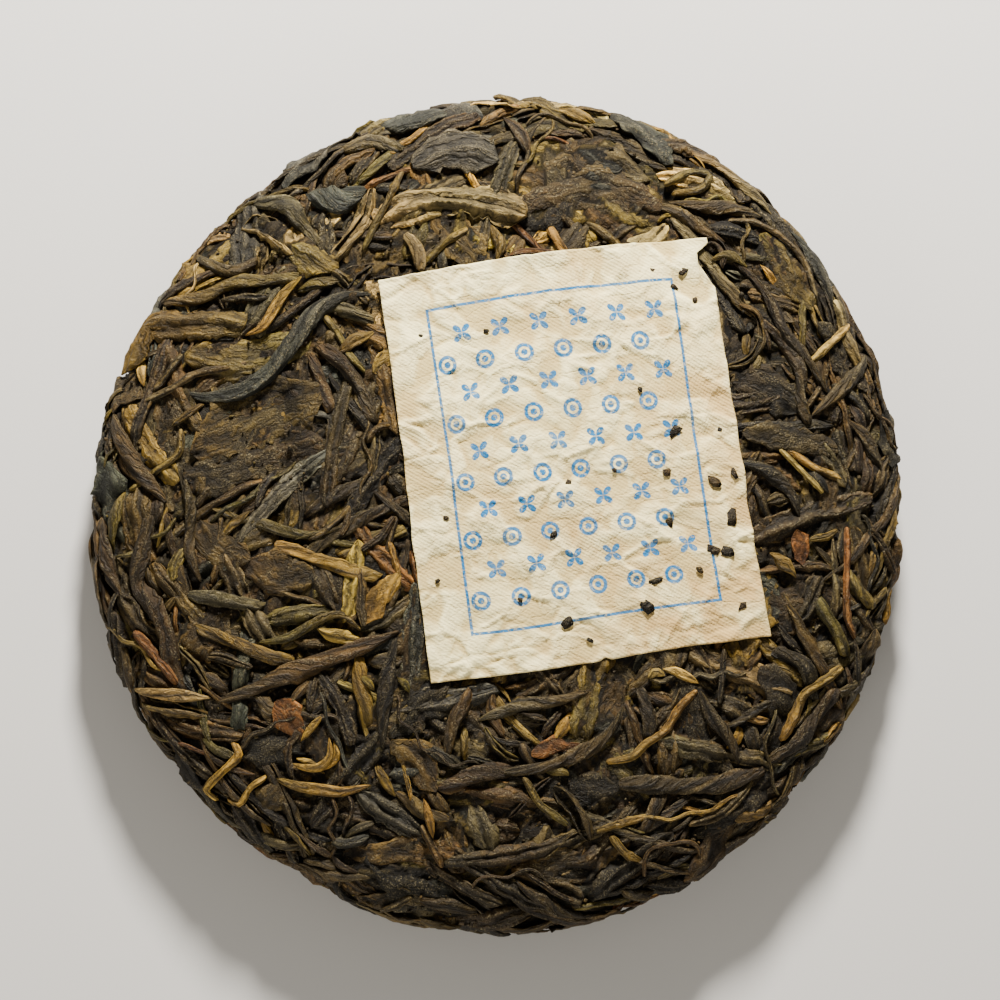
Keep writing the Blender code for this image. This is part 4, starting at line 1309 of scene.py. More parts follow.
def scrap_relief(u, v, cell, count, seed):
    """Relief, colour, ridge and grain of flattened scraps on an even grid."""
    draw = np.random.default_rng(seed)
    reach = u[-1, 0]
    relief = np.zeros(u.shape)
    tint = np.ones(u.shape + (3,)) * linear(PALETTE["umber"]) * COMMON_WARMTH
    ridge = np.zeros(u.shape)
    grain = np.stack((u, 0 * u, v), -1) / MM
    for k in range(count):
        small = k > 0.6 * count
        length = draw.uniform(8, 20 if small else 34) * MM
        width = draw.uniform(2, 6 if small else 12) * MM
        distance, around = reach * math.sqrt(draw.random()), draw.uniform(0, 2 * math.pi)
        centre = distance * math.cos(around), distance * math.sin(around)
        edge = min(max((distance - 70 * MM) / (20 * MM), 0), 1)
        heading = around + math.pi / 2 + draw.uniform(-1, 1) * (1.57 - 1.0 * edge)
        low = [max(0, int((c - length / 2 - 3 * MM + reach) / cell)) for c in centre]
        high = [min(len(u), int((c + length / 2 + 3 * MM + reach) / cell)) for c in centre]
        if high[0] - low[0] < 3 or high[1] - low[1] < 3:
            continue
        part = (slice(low[0], high[0]), slice(low[1], high[1]))
        x, y = u[part] - centre[0], v[part] - centre[1]
        along = x * math.cos(heading) + y * math.sin(heading)
        beside = y * math.cos(heading) - x * math.sin(heading)
        beside = beside - draw.normal(0, 5.0) * along**2 - 0.5 * MM * np.sin(along / (3 * MM) + k)
        half = width / 2 * np.sqrt(np.clip(1 - (2 * along / length) ** 2, 0, 1))
        half = half * (1 + 0.2 * np.sin(along / (draw.uniform(1.0, 3.5) * MM) + k * 1.7) * np.sign(beside))
        inside = np.abs(beside) < half
        if inside.sum() < 6:
            continue
        rim = np.abs(beside) / np.maximum(half, 0.3 * MM)
        gap = (rim >= 1) & (np.abs(beside) < half + 0.7 * MM) & (np.abs(along) < length * 0.45)
        pitch = draw.uniform(0.9, 2.2) * MM
        drift = draw.uniform(0.5, 1.6) * np.sin(along / (draw.uniform(3, 9) * MM) + k)
        folds = fold_wave(beside / pitch * 2 + drift)
        folds = folds + 0.3 * np.sin(along / (draw.uniform(1.6, 5) * MM) + beside / pitch + k)
        swell = draw.uniform(-0.2, 1.0) * (1 - np.minimum(rim, 1) ** 2)
        rise = SCRAP_THICK * (1 - 0.6 * np.minimum(rim, 1) ** 8 + swell)
        rise = rise + SCRAP_FOLD * draw.uniform(0.4, 1.0) * 0.5 * folds
        under = relief[part]
        mean = under[inside].mean()
        beside_it = np.where(gap, under - GAP_DEPTH, under)
        relief[part] = np.where(inside, mean + 0.3 * (under - mean) + rise, beside_it)
        patch = 1 + 0.12 * np.sin(along / (6 * MM) + k)
        colour = colour_at(centre[0], centre[1], draw, True) * patch[..., None]
        # Painted highlight along the edges of each scrap.
        colour = colour * (1 + 0.6 * np.minimum(rim, 1)[..., None] ** 6 * SCRAP_EDGE_HIGHLIGHT)
        tint[part] = np.where(inside[..., None], colour, tint[part])
        # The gap beside a scrap gets a low ridge value: painted shadow between the scraps.
        ridge[part] = np.where(inside, 0.55 * folds, np.where(gap, -1.1, ridge[part]))
        own = np.stack((beside / MM, 0 * beside + 7.3 * k, along / MM), -1)
        grain[part] = np.where(inside[..., None], own, grain[part])
    relief = relief - blurred(relief, int(5 * MM / cell))
    return np.clip(relief, *RELIEF_LIMITS), tint, ridge, grain

# %% The relief hung on the envelope
FACE_SCRAPS, BACK_SCRAPS = 3600, 2600
FACE_MASS_REACH, BACK_MASS_REACH = 119 * MM, 112 * MM  # arc length from the middle of each side
FACE_MASS_CELL, BACK_MASS_CELL = 0.72 * MM, 0.95 * MM
BELOW_LEAVES = 0.40 * MM


def pressed_mass(name, chart_map, cell, reach, count, seed):
    """A closed solid: the relief on the envelope, and a fan to a point inside."""
    half = int(reach / cell)
    line = np.arange(-half, half + 1) * cell
    u, v = np.meshgrid(line, line, indexing="ij")
    relief, tint, ridge, grain = scrap_relief(u, v, cell, count, seed)
    distance, angle = np.hypot(u, v), np.arctan2(v, u)
    arc = ARC_END - distance if chart_map.from_back else distance
    i, j, _ = chart_map.index(arc, angle)
    edge = np.clip((arc - 74 * MM) / (22 * MM), 0, 1) * (arc < ARC_END - 60 * MM)
    swing = waves(seed + 1, 10 * MM, 40 * MM, 9)(u, v)
    base = skin_level(arc, angle) + MASS_DEPTH + MASS_DEEPER_EDGE * edge + 0.3 * MM * swing
    depth = base - relief
    leaf_top = -lowered(-np.where(chart_map.top < 8 * MM, chart_map.top, -9 * MM), 1)[i, j]
    depth = np.maximum(depth, leaf_top + BELOW_LEAVES)
    if not chart_map.from_back:
        covered = ticket_inset(u, v) > -0.8 * MM
        depth = np.where(covered, np.maximum(depth, bed_at(u, v) + BED_CLEARANCE), depth)
    depth = np.maximum(depth, 0.15 * MM) + np.clip((distance - reach + 6 * MM) / (5 * MM), 0, 1) ** 2 * 5 * MM
    verts, _ = skin(arc, angle, depth)
    verts[..., 2] = np.maximum(verts[..., 2], 0.0)
    cells = len(line)
    keep = distance[:-1, :-1] < reach - 2 * cell
    number = np.arange(cells * cells).reshape(cells, cells)
    quads = np.stack((number[:-1, :-1], number[1:, :-1], number[1:, 1:], number[:-1, 1:]), -1)
    inner = [np.array((CAKE_MIDDLE[0], CAKE_MIDDLE[1], 0.5 * CAKE_HEIGHT))]
    padded = np.pad(keep, 1)
    fans = []
    for side, (di, dj) in enumerate(((0, -1), (1, 0), (0, 1), (-1, 0))):
        open_side = keep & ~padded[1 + di : len(padded) - 1 + di, 1 + dj : padded.shape[1] - 1 + dj]
        a, b = quads[open_side][:, side], quads[open_side][:, (side + 1) % 4]
        fans.append(np.stack((b, a, np.full(len(a), cells * cells)), -1))
    quads, fans = quads[keep], np.concatenate(fans)
    if chart_map.from_back:
        quads, fans = quads[:, ::-1], fans[:, ::-1]
    used, quads_new = np.unique(np.concatenate((quads.ravel(), fans.ravel())), return_inverse=True)
    loops = quads_new.ravel()
    verts = np.concatenate((verts.reshape(-1, 3), inner))[used]
    values = np.concatenate((tint.reshape(-1, 3), np.zeros((1, 3))))[used]
    ridges = np.append(ridge.ravel(), 0)[used]
    grains = np.concatenate((grain.reshape(-1, 3), np.zeros((1, 3))))[used]
    flat_uv = np.concatenate((np.stack((u, v), -1).reshape(-1, 2) / (2 * reach) + 0.5, ((0.5, 0.5),)))[used]
    sizes = np.repeat((4, 3), (len(quads), len(fans)))
    mesh = filled_mesh(name, verts, loops, sizes, values, ridges, grains)
    mesh.uv_layers.new(name="OFBake").uv.foreach_set("vector", flat_uv[loops].astype(np.float32).ravel())
    print(name, "scraps", count, "triangles", int((sizes - 2).sum()))
    return new_object(name, mesh)


mass_face = pressed_mass("pressed_mass_face", face_map, FACE_MASS_CELL, FACE_MASS_REACH, FACE_SCRAPS, 51)
mass_back = pressed_mass("pressed_mass_back", back_map, BACK_MASS_CELL, BACK_MASS_REACH, BACK_SCRAPS, 61)

# %% [markdown]
# ## The ticket
#
# The ticket is thin soft paper, laid on the wet leaves and pressed with them. It is a grid over the four
# corners, with worn edges and a torn corner, and a Solidify modifier gives it its thickness at the end. A
# cloth simulation would crease it too, but not twice in the same way.

# %% Ticket sheet
TICKET_CELLS = (188, 226)
TICKET_THICK = 0.14 * MM
TICKET_LIFT = 0.35 * MM
TICKET_SIZE = (82 * MM, 99 * MM)
TORN_AWAY = 0.040  # as a share of the ticket's width

paper = bmesh.new()
bmesh.ops.create_grid(paper, x_segments=TICKET_CELLS[0], y_segments=TICKET_CELLS[1], size=0.5)
mesh = bpy.data.meshes.new("ticket_paper")
paper.to_mesh(mesh)
paper.free()
co = np.zeros(len(mesh.vertices) * 3)
mesh.vertices.foreach_get("co", co)
grid = co.reshape(-1, 3)
p, q = grid[:, 0] + 0.5, grid[:, 1] + 0.5  # across from the left edge, and up from the bottom edge
edge_wave = waves(31, 0.03, 0.4, 10)
p_worn = p + 0.0016 * edge_wave(q, p * 0) * (np.abs(2 * p - 1) ** 8)
q_worn = q + 0.0013 * edge_wave(p * 0 + 3, p) * (np.abs(2 * q - 1) ** 8)
torn_corner = np.clip((q - 0.88) / 0.06, 0, 1) * np.clip((0.985 - q) / 0.02, 0, 1)
p_worn -= TORN_AWAY * np.clip((p - 0.955) / 0.045, 0, 1) * torn_corner
q_worn += 0.007 * np.exp(-(((p - 0.50) / 0.012) ** 2)) * np.clip((0.03 - q) / 0.03, 0, 1)
top_left, top_right, low_right, low_left = ticket_chart
chart_uv = (low_left * ((1 - p_worn) * (1 - q_worn))[:, None] + low_right * (p_worn * (1 - q_worn))[:, None]
            + top_left * ((1 - p_worn) * q_worn)[:, None] + top_right * (p_worn * q_worn)[:, None])
print("ticket sheet of", len(grid), "points")

# %% [markdown]
# ### Creases
#
# Wet paper that is pressed on leaves doesn't fold in waves. It breaks into flat facets with short sharp
# creases between them. The borders between the regions nearest to scattered points make such a net. Coarse
# and fine nets, up and down, are added where a slow noise lets them.

# %% Creases
CREASE_RISE = 0.76 * MM
CREASE_LIMITS = (-0.30 * MM, 1.0 * MM)
NET_STRETCH = 0.6

east_m, north_m = p * TICKET_SIZE[0], q * TICKET_SIZE[1]
crease_draw = np.random.default_rng(46)
warp_x, warp_y = (waves(n, 8 * MM, 30 * MM, 7)(east_m, north_m) * 1.1 * MM for n in (44, 45))


def crease_net(pitch, sharp, heading):
    """A net of straight creases, 1 on a crease and 0 further off than `sharp`, longer in one heading."""
    east = (east_m + warp_x) * math.cos(heading) + (north_m + warp_y) * math.sin(heading)
    north = (north_m + warp_y) * math.cos(heading) - (east_m + warp_x) * math.sin(heading)
    east = east * NET_STRETCH
    count = int(1.6 * NET_STRETCH * TICKET_SIZE[0] * TICKET_SIZE[1] / pitch**2)
    seeds = crease_draw.uniform((east.min(), north.min()), (east.max(), north.max()), (count, 2))
    near, second = np.full(len(east), 9.0), np.full(len(east), 9.0)
    for a, b in seeds:
        away = np.hypot(east - a, north - b)
        second = np.minimum(second, np.maximum(near, away))
        near = np.minimum(near, away)
    return np.clip(1 - (second - near) / sharp, 0, 1)


def here_and_there(seed, share):
    """A slow noise from 0 to 1 that lets creases show in some places only."""
    return np.clip(waves(seed, 9 * MM, 40 * MM, 8)(east_m, north_m) * 1.8 + share, 0, 1)


creased = 0.60 * crease_net(8.5 * MM, 1.5 * MM, -0.25) * here_and_there(101, 0.5)
creased -= 0.55 * crease_net(7.0 * MM, 1.3 * MM, -0.1) * here_and_there(102, 0.4)
creased += 0.36 * crease_net(4.6 * MM, 0.9 * MM, -0.4) * here_and_there(103, 0.35)
creased -= 0.30 * crease_net(4.0 * MM, 0.8 * MM, 0.9) * here_and_there(104, 0.3)
for k in range(8):
    pitch = crease_draw.uniform(9, 22) * MM
    heading = crease_draw.normal(-0.25, 0.7)
    line = (north_m * math.cos(heading) + east_m * math.sin(heading) + warp_y) / pitch * 2 * math.pi
    creased += 0.30 * here_and_there(110 + k, 0.0) * fold_wave(line + crease_draw.uniform(0, 6))
print("creases from", round(float(creased.min()), 2), "to", round(float(creased.max()), 2))

# %% [markdown]
# ### The ticket in its place
#
# The paper's height is the height of the leaf bed with the creases added, and its left edge curls up a
# little.

# %% Ticket in place
rise = np.clip(creased * CREASE_RISE, *CREASE_LIMITS)
curl = np.exp(-p / 0.012) * (0.5 + 0.5 * np.sin(q * 15)) * 0.25 * MM
depth = bed_at(chart_uv[:, 0], chart_uv[:, 1]) - TICKET_LIFT - rise - curl
arc, angle = np.hypot(chart_uv[:, 0], chart_uv[:, 1]), np.arctan2(chart_uv[:, 1], chart_uv[:, 0])
placed, _ = skin(arc, angle, depth)
mesh.vertices.foreach_set("co", placed.ravel())
ticket_uv = mesh.uv_layers.new(name="OFBake")
corner = np.zeros(len(mesh.loops), np.int32)
mesh.loops.foreach_get("vertex_index", corner)
ticket_uv.uv.foreach_set("vector", np.stack((p[corner], q[corner]), -1).astype(np.float32).ravel())
# The shader paints a highlight on raised creases and shade in the valleys from this height.
fold = mesh.attributes.new("Fold", "FLOAT", "POINT")
fold.data.foreach_set("value", (creased / 0.45).astype(np.float32))
mesh.update()
mesh.shade_smooth()
ticket = new_object("ticket_paper", mesh)
thick = ticket.modifiers.new("paper", "SOLIDIFY")
thick.thickness = TICKET_THICK
thick.offset = -1
print("ticket vertices", len(mesh.vertices))

# %% [markdown]
# ## Chips and crumbs
#
# Small chips of leaf stick to the ticket, and crumbs sit between the leaves. Both are many tiny closed
# lumps, so they are made as arrays from one rough lump and joined.

# %% Sizes of chips and crumbs
CHIPS = (  # pixel across, pixel down, and length and width in pixels
    (675, 431, 14, 8), (667, 472, 8, 7), (714, 482, 13, 8), (731, 518, 15, 10), (668, 521, 12, 8),
    (658, 512, 8, 6), (713, 550, 13, 9), (727, 552, 11, 8), (655, 581, 13, 6), (646, 607, 14, 10),
    (567, 622, 14, 9), (554, 535, 8, 5), (568, 484, 7, 5), (486, 331, 6, 4), (683, 272, 10, 6),
    (652, 272, 7, 5), (674, 287, 7, 5), (734, 474, 10, 5), (420, 336, 5, 4), (446, 518, 5, 4),
    (438, 581, 5, 4), (695, 300, 6, 5), (659, 531, 7, 6), (614, 470, 5, 4), (520, 600, 5, 4),
    (742, 606, 9, 6), (700, 570, 7, 5), (590, 640, 6, 4), (640, 390, 5, 4), (720, 430, 6, 4),
)
CRUMBS = 700
CHIP_HEIGHT = 0.45 * MM
CHIP_OVER_BED = 0.55 * MM
CRUMB_SIZE = 0.7 * MM
CRUMB_COLOURS = {"umber": 0.36, "brown": 0.30, "grey": 0.14, "khaki": 0.14, "dark": 0.06}  # and their odds

# %% Lumps as one mesh


def lumps(name, centres, normals, sizes, colours, draw):
    """Many rough closed lumps in one mesh, of sizes (length, width, height), each turned by chance."""
    ball = bmesh.new()
    bmesh.ops.create_icosphere(ball, subdivisions=1, radius=0.5)
    shape = np.array([v.co for v in ball.verts])
    faces = np.array([[v.index for v in f.verts] for f in ball.faces])
    ball.free()
    count = len(centres)
    turn = draw.uniform(0, 2 * math.pi, count)
    helper = np.where(np.abs(normals[:, :1]) < 0.8, np.array([[1.0, 0, 0]]), np.array([[0, 1.0, 0]]))
    east = np.cross(normals, helper)
    east /= np.linalg.norm(east, axis=1, keepdims=True)
    north = np.cross(normals, east)
    first = east * np.cos(turn)[:, None] + north * np.sin(turn)[:, None]
    second = np.cross(normals, first)
    rough = shape[None] * draw.uniform(0.62, 1.30, (count, len(shape), 1))
    verts = centres[:, None, :] + sum(
        axis[:, None, :] * (rough[..., k] * sizes[:, k : k + 1])[..., None]
        for k, axis in enumerate((first, second, normals)))
    loops = (faces[None] + (np.arange(count) * len(shape))[:, None, None]).ravel()
    full = np.repeat(colours, len(shape), 0)
    verts = verts.reshape(-1, 3)
    mesh = filled_mesh(name, verts, loops, np.full(len(loops) // 3, 3), full, np.zeros(len(full)), verts / MM)
    print(name, count, "lumps")
    return new_object(name, mesh)

# %% Chips on the ticket and crumbs between the leaves
draw = np.random.default_rng(71)
spots, ups, sizes, tints = [], [], [], []
for x, y, length, width in CHIPS:
    chip_arc, chip_angle = (np.array([value]) for value in seen_at(x, y))
    level = bed_at(chip_arc * np.cos(chip_angle), chip_arc * np.sin(chip_angle))
    point, up = skin(chip_arc, chip_angle, level - CHIP_OVER_BED)
    spots.append(point[0])
    ups.append(up[0])
    sizes.append((length * PIXEL * 1.3, width * PIXEL * 1.35, CHIP_HEIGHT))
    tints.append(tinted(draw.choice(("umber", "brown", "dark", "dark")), draw))
chips = lumps("chips_on_ticket", np.array(spots), np.array(ups), np.array(sizes), np.array(tints), draw)

bare_i = draw.integers(0, face_map.cells, (2, 60000))
u, v = face_map.u[bare_i[0], bare_i[1]], face_map.v[bare_i[0], bare_i[1]]
top_here = face_map.top[bare_i[0], bare_i[1]]
good = (np.hypot(u, v) < 126 * MM) & (ticket_inset(u, v) < -1 * MM) & (top_here > 0.9 * MM)
u, v, top_here = u[good][:CRUMBS], v[good][:CRUMBS], top_here[good][:CRUMBS]
crumb_depth = np.minimum(top_here, 1.1 * MM)
points, ups = skin(np.hypot(u, v), np.arctan2(v, u), crumb_depth)
size = np.exp(draw.normal(math.log(CRUMB_SIZE), 0.35, (len(u), 1))) * draw.uniform(0.6, 1.3, (len(u), 3))
names, odds = list(CRUMB_COLOURS), list(CRUMB_COLOURS.values())
tints = np.array([tinted(draw.choice(names, p=odds), draw) for _ in range(len(u))])
crumbs = lumps("crumbs", points, ups, size, tints, draw)

# %% [markdown]
# ## Materials
#
# One shader takes each leaf's own colour, varies it by fine stretched noise, and uses the same noise as
# relief. It also paints shade into the grooves and a grey sheen and highlights onto the ridges. The paper
# has a shader of its own. Both are many small sums, so short words for them come first.

# %% Short words for nodes


class Nodes:
    """Short words for building a node tree."""

    def __init__(self, name):
        self.material = bpy.data.materials.new(name)
        self.material.use_nodes = True
        self.tree = self.material.node_tree
        self.shader = self.tree.nodes["Principled BSDF"]

    def add(self, kind, settings=(), **inputs):
        node = self.tree.nodes.new(kind)
        for key, value in dict(settings).items():
            setattr(node, key, value)
        for key, value in inputs.items():
            self.set(node, key.replace("_", " "), value)
        return node

    def set(self, node, key, value):
        socket = node.inputs[int(key)] if key.isdigit() else node.inputs[key]
        if isinstance(value, bpy.types.NodeSocket):
            self.tree.links.new(value, socket)
        else:
            socket.default_value = value

    def math(self, operation, a, b=0.0, clamp=False):
        node = self.tree.nodes.new("ShaderNodeMath")
        node.operation, node.use_clamp = operation, clamp
        self.set(node, "0", a)
        self.set(node, "1", b)
        return node.outputs[0]

    def plus(self, a, b):
        return self.math("ADD", a, b)

    def minus(self, a, b):
        return self.math("SUBTRACT", a, b)

    def times(self, a, b):
        return self.math("MULTIPLY", a, b)

    def least(self, a, b):
        return self.math("MINIMUM", a, b)

    def vector(self, operation, a, b):
        return self.add("ShaderNodeVectorMath", {"operation": operation}, **{"0": a, "1": b}).outputs[0]

    def ramp(self, value, low, high, to_low=0.0, to_high=1.0):
        node = self.add("ShaderNodeMapRange", {"clamp": True}, Value=value)
        for key, number in (("From Min", low), ("From Max", high), ("To Min", to_low), ("To Max", to_high)):
            node.inputs[key].default_value = number
        return node.outputs[0]

    def noise(self, vector, scale, detail=3.0, rough=0.55):
        node = self.add("ShaderNodeTexNoise", {}, Vector=vector, Scale=scale, Detail=detail, Roughness=rough)
        return node.outputs["Fac"]

    def wrinkles(self, noise, wide):
        """0 on the line where a noise is at its middle value, and 1 beside it: a net of thin wrinkles."""
        return self.ramp(self.math("ABSOLUTE", self.minus(noise, 0.5)), 0.0, wide)

    def mix(self, share, a, b, blend="MIX"):
        node = self.tree.nodes.new("ShaderNodeMix")
        node.data_type, node.blend_type = "RGBA", blend
        self.set(node, "0", share)
        self.set(node, "6", a)
        self.set(node, "7", b)
        return node.outputs[2]

    def attribute(self, name, output):
        return self.add("ShaderNodeAttribute", {"attribute_name": name}).outputs[output]

    def bumped(self, height, strength, distance):
        bump = self.add("ShaderNodeBump", {}, Height=height, Strength=strength, Distance=distance)
        self.set(self.shader, "Normal", bump.outputs[0])

# %% [markdown]
# ### Dry leaf
#
# The Grain attribute runs along and round each leaf, so a noise that is squeezed along it makes fibres. The
# Ridge attribute is high on a fold and low in a groove, a gap, an underside or the inside of a scroll: the
# low places get painted shade and the folds a painted highlight, and the wrinkle lines are darkened as
# painted shade. The ridges also get grey dust that paints a sheen as well and, in specks, pale wear that
# paints a highlight as well. Broad leaves and the pressed mass have shorter wrinkles than rolled ones.

# %% Dry leaf
DUST_AND_SHEEN = (0.145, 0.117, 0.058, 1)
WEAR_AND_HIGHLIGHT = (0.34, 0.28, 0.150, 1)
LEAF_SHINE = 0.23
LEAF_BUMP = 0.85 * MM


def leaf_material(name, rough, run, wrinkled, grainy, lumpy):
    """`run` is how far the wrinkles run along the leaf: 1 is not at all, less is further."""
    n = Nodes(name)
    tint, ridge = n.attribute("Tint", "Color"), n.attribute("Ridge", "Fac")
    grain = n.attribute("Grain", "Vector")
    swerve = n.add("ShaderNodeTexNoise", {}, Vector=grain, Scale=0.35, Detail=2.0).outputs["Color"]
    bent = n.vector("ADD", grain, n.vector("MULTIPLY", swerve, (2.2, 2.2, 5.0)))
    stretched = n.vector("MULTIPLY", bent, (1.0, 1.0, run))
    fibre = n.noise(stretched, 2.0, 3.0, 0.6)
    wrinkle = n.wrinkles(n.noise(stretched, 0.50, 3.0, 0.5), 0.15)
    cross = n.noise(bent, 0.45, 4.0, 0.62)
    speck = n.noise(grain, 2.6, 4.0, 0.7)
    # Painted shade and highlight: wrinkle lines and low ridge values darker, high ridge values lighter.
    shade = n.times(n.ramp(fibre, 0.32, 0.68, 0.66, 1.34), n.ramp(wrinkle, 0.0, 0.8, 0.36, 1.16))
    shade = n.times(shade, n.ramp(ridge, -1.2, 1.0, 0.30, 1.42))
    shade = n.times(shade, n.ramp(cross, 0.3, 0.7, 0.62, 1.45))
    grey = n.add("ShaderNodeCombineColor", {}, Red=shade, Green=shade, Blue=shade).outputs[0]
    base = n.mix(1.0, tint, grey, "MULTIPLY")
    # Grey dust on the ridges, which also paints a sheen there.
    dust_and_sheen = n.times(n.ramp(ridge, -0.1, 1.0, 0.06, 1.0), n.ramp(speck, 0.44, 0.68, 0.0, 0.42))
    base = n.mix(dust_and_sheen, base, DUST_AND_SHEEN)
    # Pale wear in specks on the ridges, which also paints a highlight there.
    wear_and_highlight = n.times(n.ramp(speck, 0.55, 0.69, 0.0, 0.55), n.ramp(ridge, -0.5, 0.9, 0.10, 1.0))
    base = n.mix(wear_and_highlight, base, WEAR_AND_HIGHLIGHT)
    n.set(n.shader, "Base Color", base)
    n.set(n.shader, "Roughness", n.ramp(cross, 0.3, 0.7, rough + 0.14, rough - 0.08))
    n.shader.inputs["Specular IOR Level"].default_value = LEAF_SHINE
    height = n.plus(n.times(wrinkle, wrinkled), n.times(fibre, 0.30))
    height = n.plus(height, n.plus(n.times(speck, grainy), n.times(cross, lumpy)))
    n.bumped(height, 1.0, LEAF_BUMP)
    return n.material


dry_leaf = leaf_material("dry_leaf", rough=0.60, run=0.20, wrinkled=0.48, grainy=0.36, lumpy=0.42)
flat_leaf = leaf_material("dry_broad_leaf", rough=0.66, run=0.42, wrinkled=0.40, grainy=0.50, lumpy=0.22)
for piece in leaf_pieces + [mass_face, mass_back, chips, crumbs]:
    piece.data.materials.append(flat_leaf if "broad" in piece.name or "mass" in piece.name else dry_leaf)
print("leaf shaders of", len(dry_leaf.node_tree.nodes), "nodes")

# %% [markdown]
# ### The print
#
# The print is a thin blue frame line with staggered rows of small flowers and rings inside it, as plain
# tickets have. It is worked out from the place on the sheet, so that it needs no picture. A flower is a
# closed curve with four petals, and a ring is a distance from its middle. Only those that lie well inside
# the frame are printed.

# %% Print of the ticket
PRINT_FRAME = (0.135, 0.105, 0.87, 0.905)  # left, bottom, right and top line, as shares of the ticket
FRAME_LINE = (0.0036, 0.0052)  # half widths, full and faded, as shares of the ticket's width
PATTERN_STEP = (9.4 * MM, 7.2 * MM)
PETAL_REACH = 5.4
RING_RADIUS = 1.85  # in mm, as the lines below are
RING_LINE = (0.36, 0.56)
DOT_RADIUS = (0.7, 0.9)
FRAME_GAP = 0.034


def ticket_print(n, share_across, share_up, east, north):
    """1 where the ticket is printed, from places as shares of the sheet and as metres."""
    left, low, right, high = PRINT_FRAME
    to_sides = n.least(n.minus(share_across, left), n.minus(right, share_across))
    to_ends = n.least(n.minus(share_up, low), n.minus(high, share_up))
    inside = n.least(to_sides, n.times(to_ends, TICKET_SIZE[1] / TICKET_SIZE[0]))
    line = n.ramp(n.math("ABSOLUTE", inside), *FRAME_LINE, 1.0, 0.0)
    row = n.math("DIVIDE", north, PATTERN_STEP[1])
    odd = n.math("FLOORED_MODULO", n.math("FLOOR", row), 2.0)
    column = n.plus(n.math("DIVIDE", east, PATTERN_STEP[0]), n.times(odd, 0.5))
    dx = n.times(n.minus(n.math("FRACT", column), 0.5), PATTERN_STEP[0] / MM)
    dy = n.times(n.minus(n.math("FRACT", row), 0.5), PATTERN_STEP[1] / MM)
    square = n.plus(n.times(dx, dx), n.times(dy, dy))
    petal = n.minus(n.math("POWER", square, 1.5), n.times(n.math("ABSOLUTE", n.times(dx, dy)), PETAL_REACH))
    flower = n.ramp(petal, -0.3, 0.5, 1.0, 0.0)
    far = n.math("SQRT", square)
    ring = n.ramp(n.math("ABSOLUTE", n.minus(far, RING_RADIUS)), *RING_LINE, 1.0, 0.0)
    ring = n.math("MAXIMUM", ring, n.ramp(far, *DOT_RADIUS, 1.0, 0.0))
    motif = n.plus(n.times(flower, odd), n.times(ring, n.minus(1.0, odd)))
    middle_x = n.minus(n.plus(n.math("FLOOR", column), 0.5), n.times(odd, 0.5))
    middle_x = n.times(middle_x, PATTERN_STEP[0] / TICKET_SIZE[0])
    middle_y = n.times(n.plus(n.math("FLOOR", row), 0.5), PATTERN_STEP[1] / TICKET_SIZE[1])
    clear_x = n.least(n.minus(middle_x, left), n.minus(right, middle_x))
    clear_y = n.least(n.minus(middle_y, low), n.minus(high, middle_y))
    motif = n.times(motif, n.math("GREATER_THAN", n.least(clear_x, clear_y), FRAME_GAP))
    return n.math("MAXIMUM", line, motif)

# %% [markdown]
# ### The paper
#
# The paper is cream, with a painted highlight where a crease stands up and painted shade in its valleys,
# and stained by the tea, most at the lower right. Thin wrinkles get painted shade, and a few spots darken it.
# The bag's cloth pressed its weave in: two sets of slanting ribs that fade here and there. A real weave mesh
# would need millions of faces, and bump does well for something so shallow.

# %% Paper of the ticket
PAPER_WITH_PAINTED_SHADE = (0.63, 0.495, 0.205, 1)
PAPER_WITH_PAINTED_HIGHLIGHT = (0.95, 0.85, 0.445, 1)
STAIN = (0.55, 0.37, 0.14, 1)
WRINKLE_SHADE = (0.42, 0.27, 0.10, 1)
SPOT = (0.22, 0.12, 0.05, 1)
INK = (0.012, 0.135, 0.32, 1)
WARP_STEP, WEFT_STEP = 1.0 * MM, 0.8 * MM
WARP_LEAN, WEFT_LEAN = 0.75, 0.55
PAPER_BUMP = 0.55 * MM


def pressed_weave(n, east, north, fading):
    """The ribs of the cloth, both sets, fading with a noise."""
    warp = n.plus(north, n.times(east, WARP_LEAN))
    weft = n.minus(east, n.times(north, WEFT_LEAN))
    warp = n.math("SINE", n.times(warp, 2 * math.pi / WARP_STEP))
    weft = n.math("SINE", n.times(weft, 2 * math.pi / WEFT_STEP))
    return n.times(n.plus(warp, n.times(weft, 0.5)), n.ramp(fading, 0.35, 0.6, 0.35, 1.0))


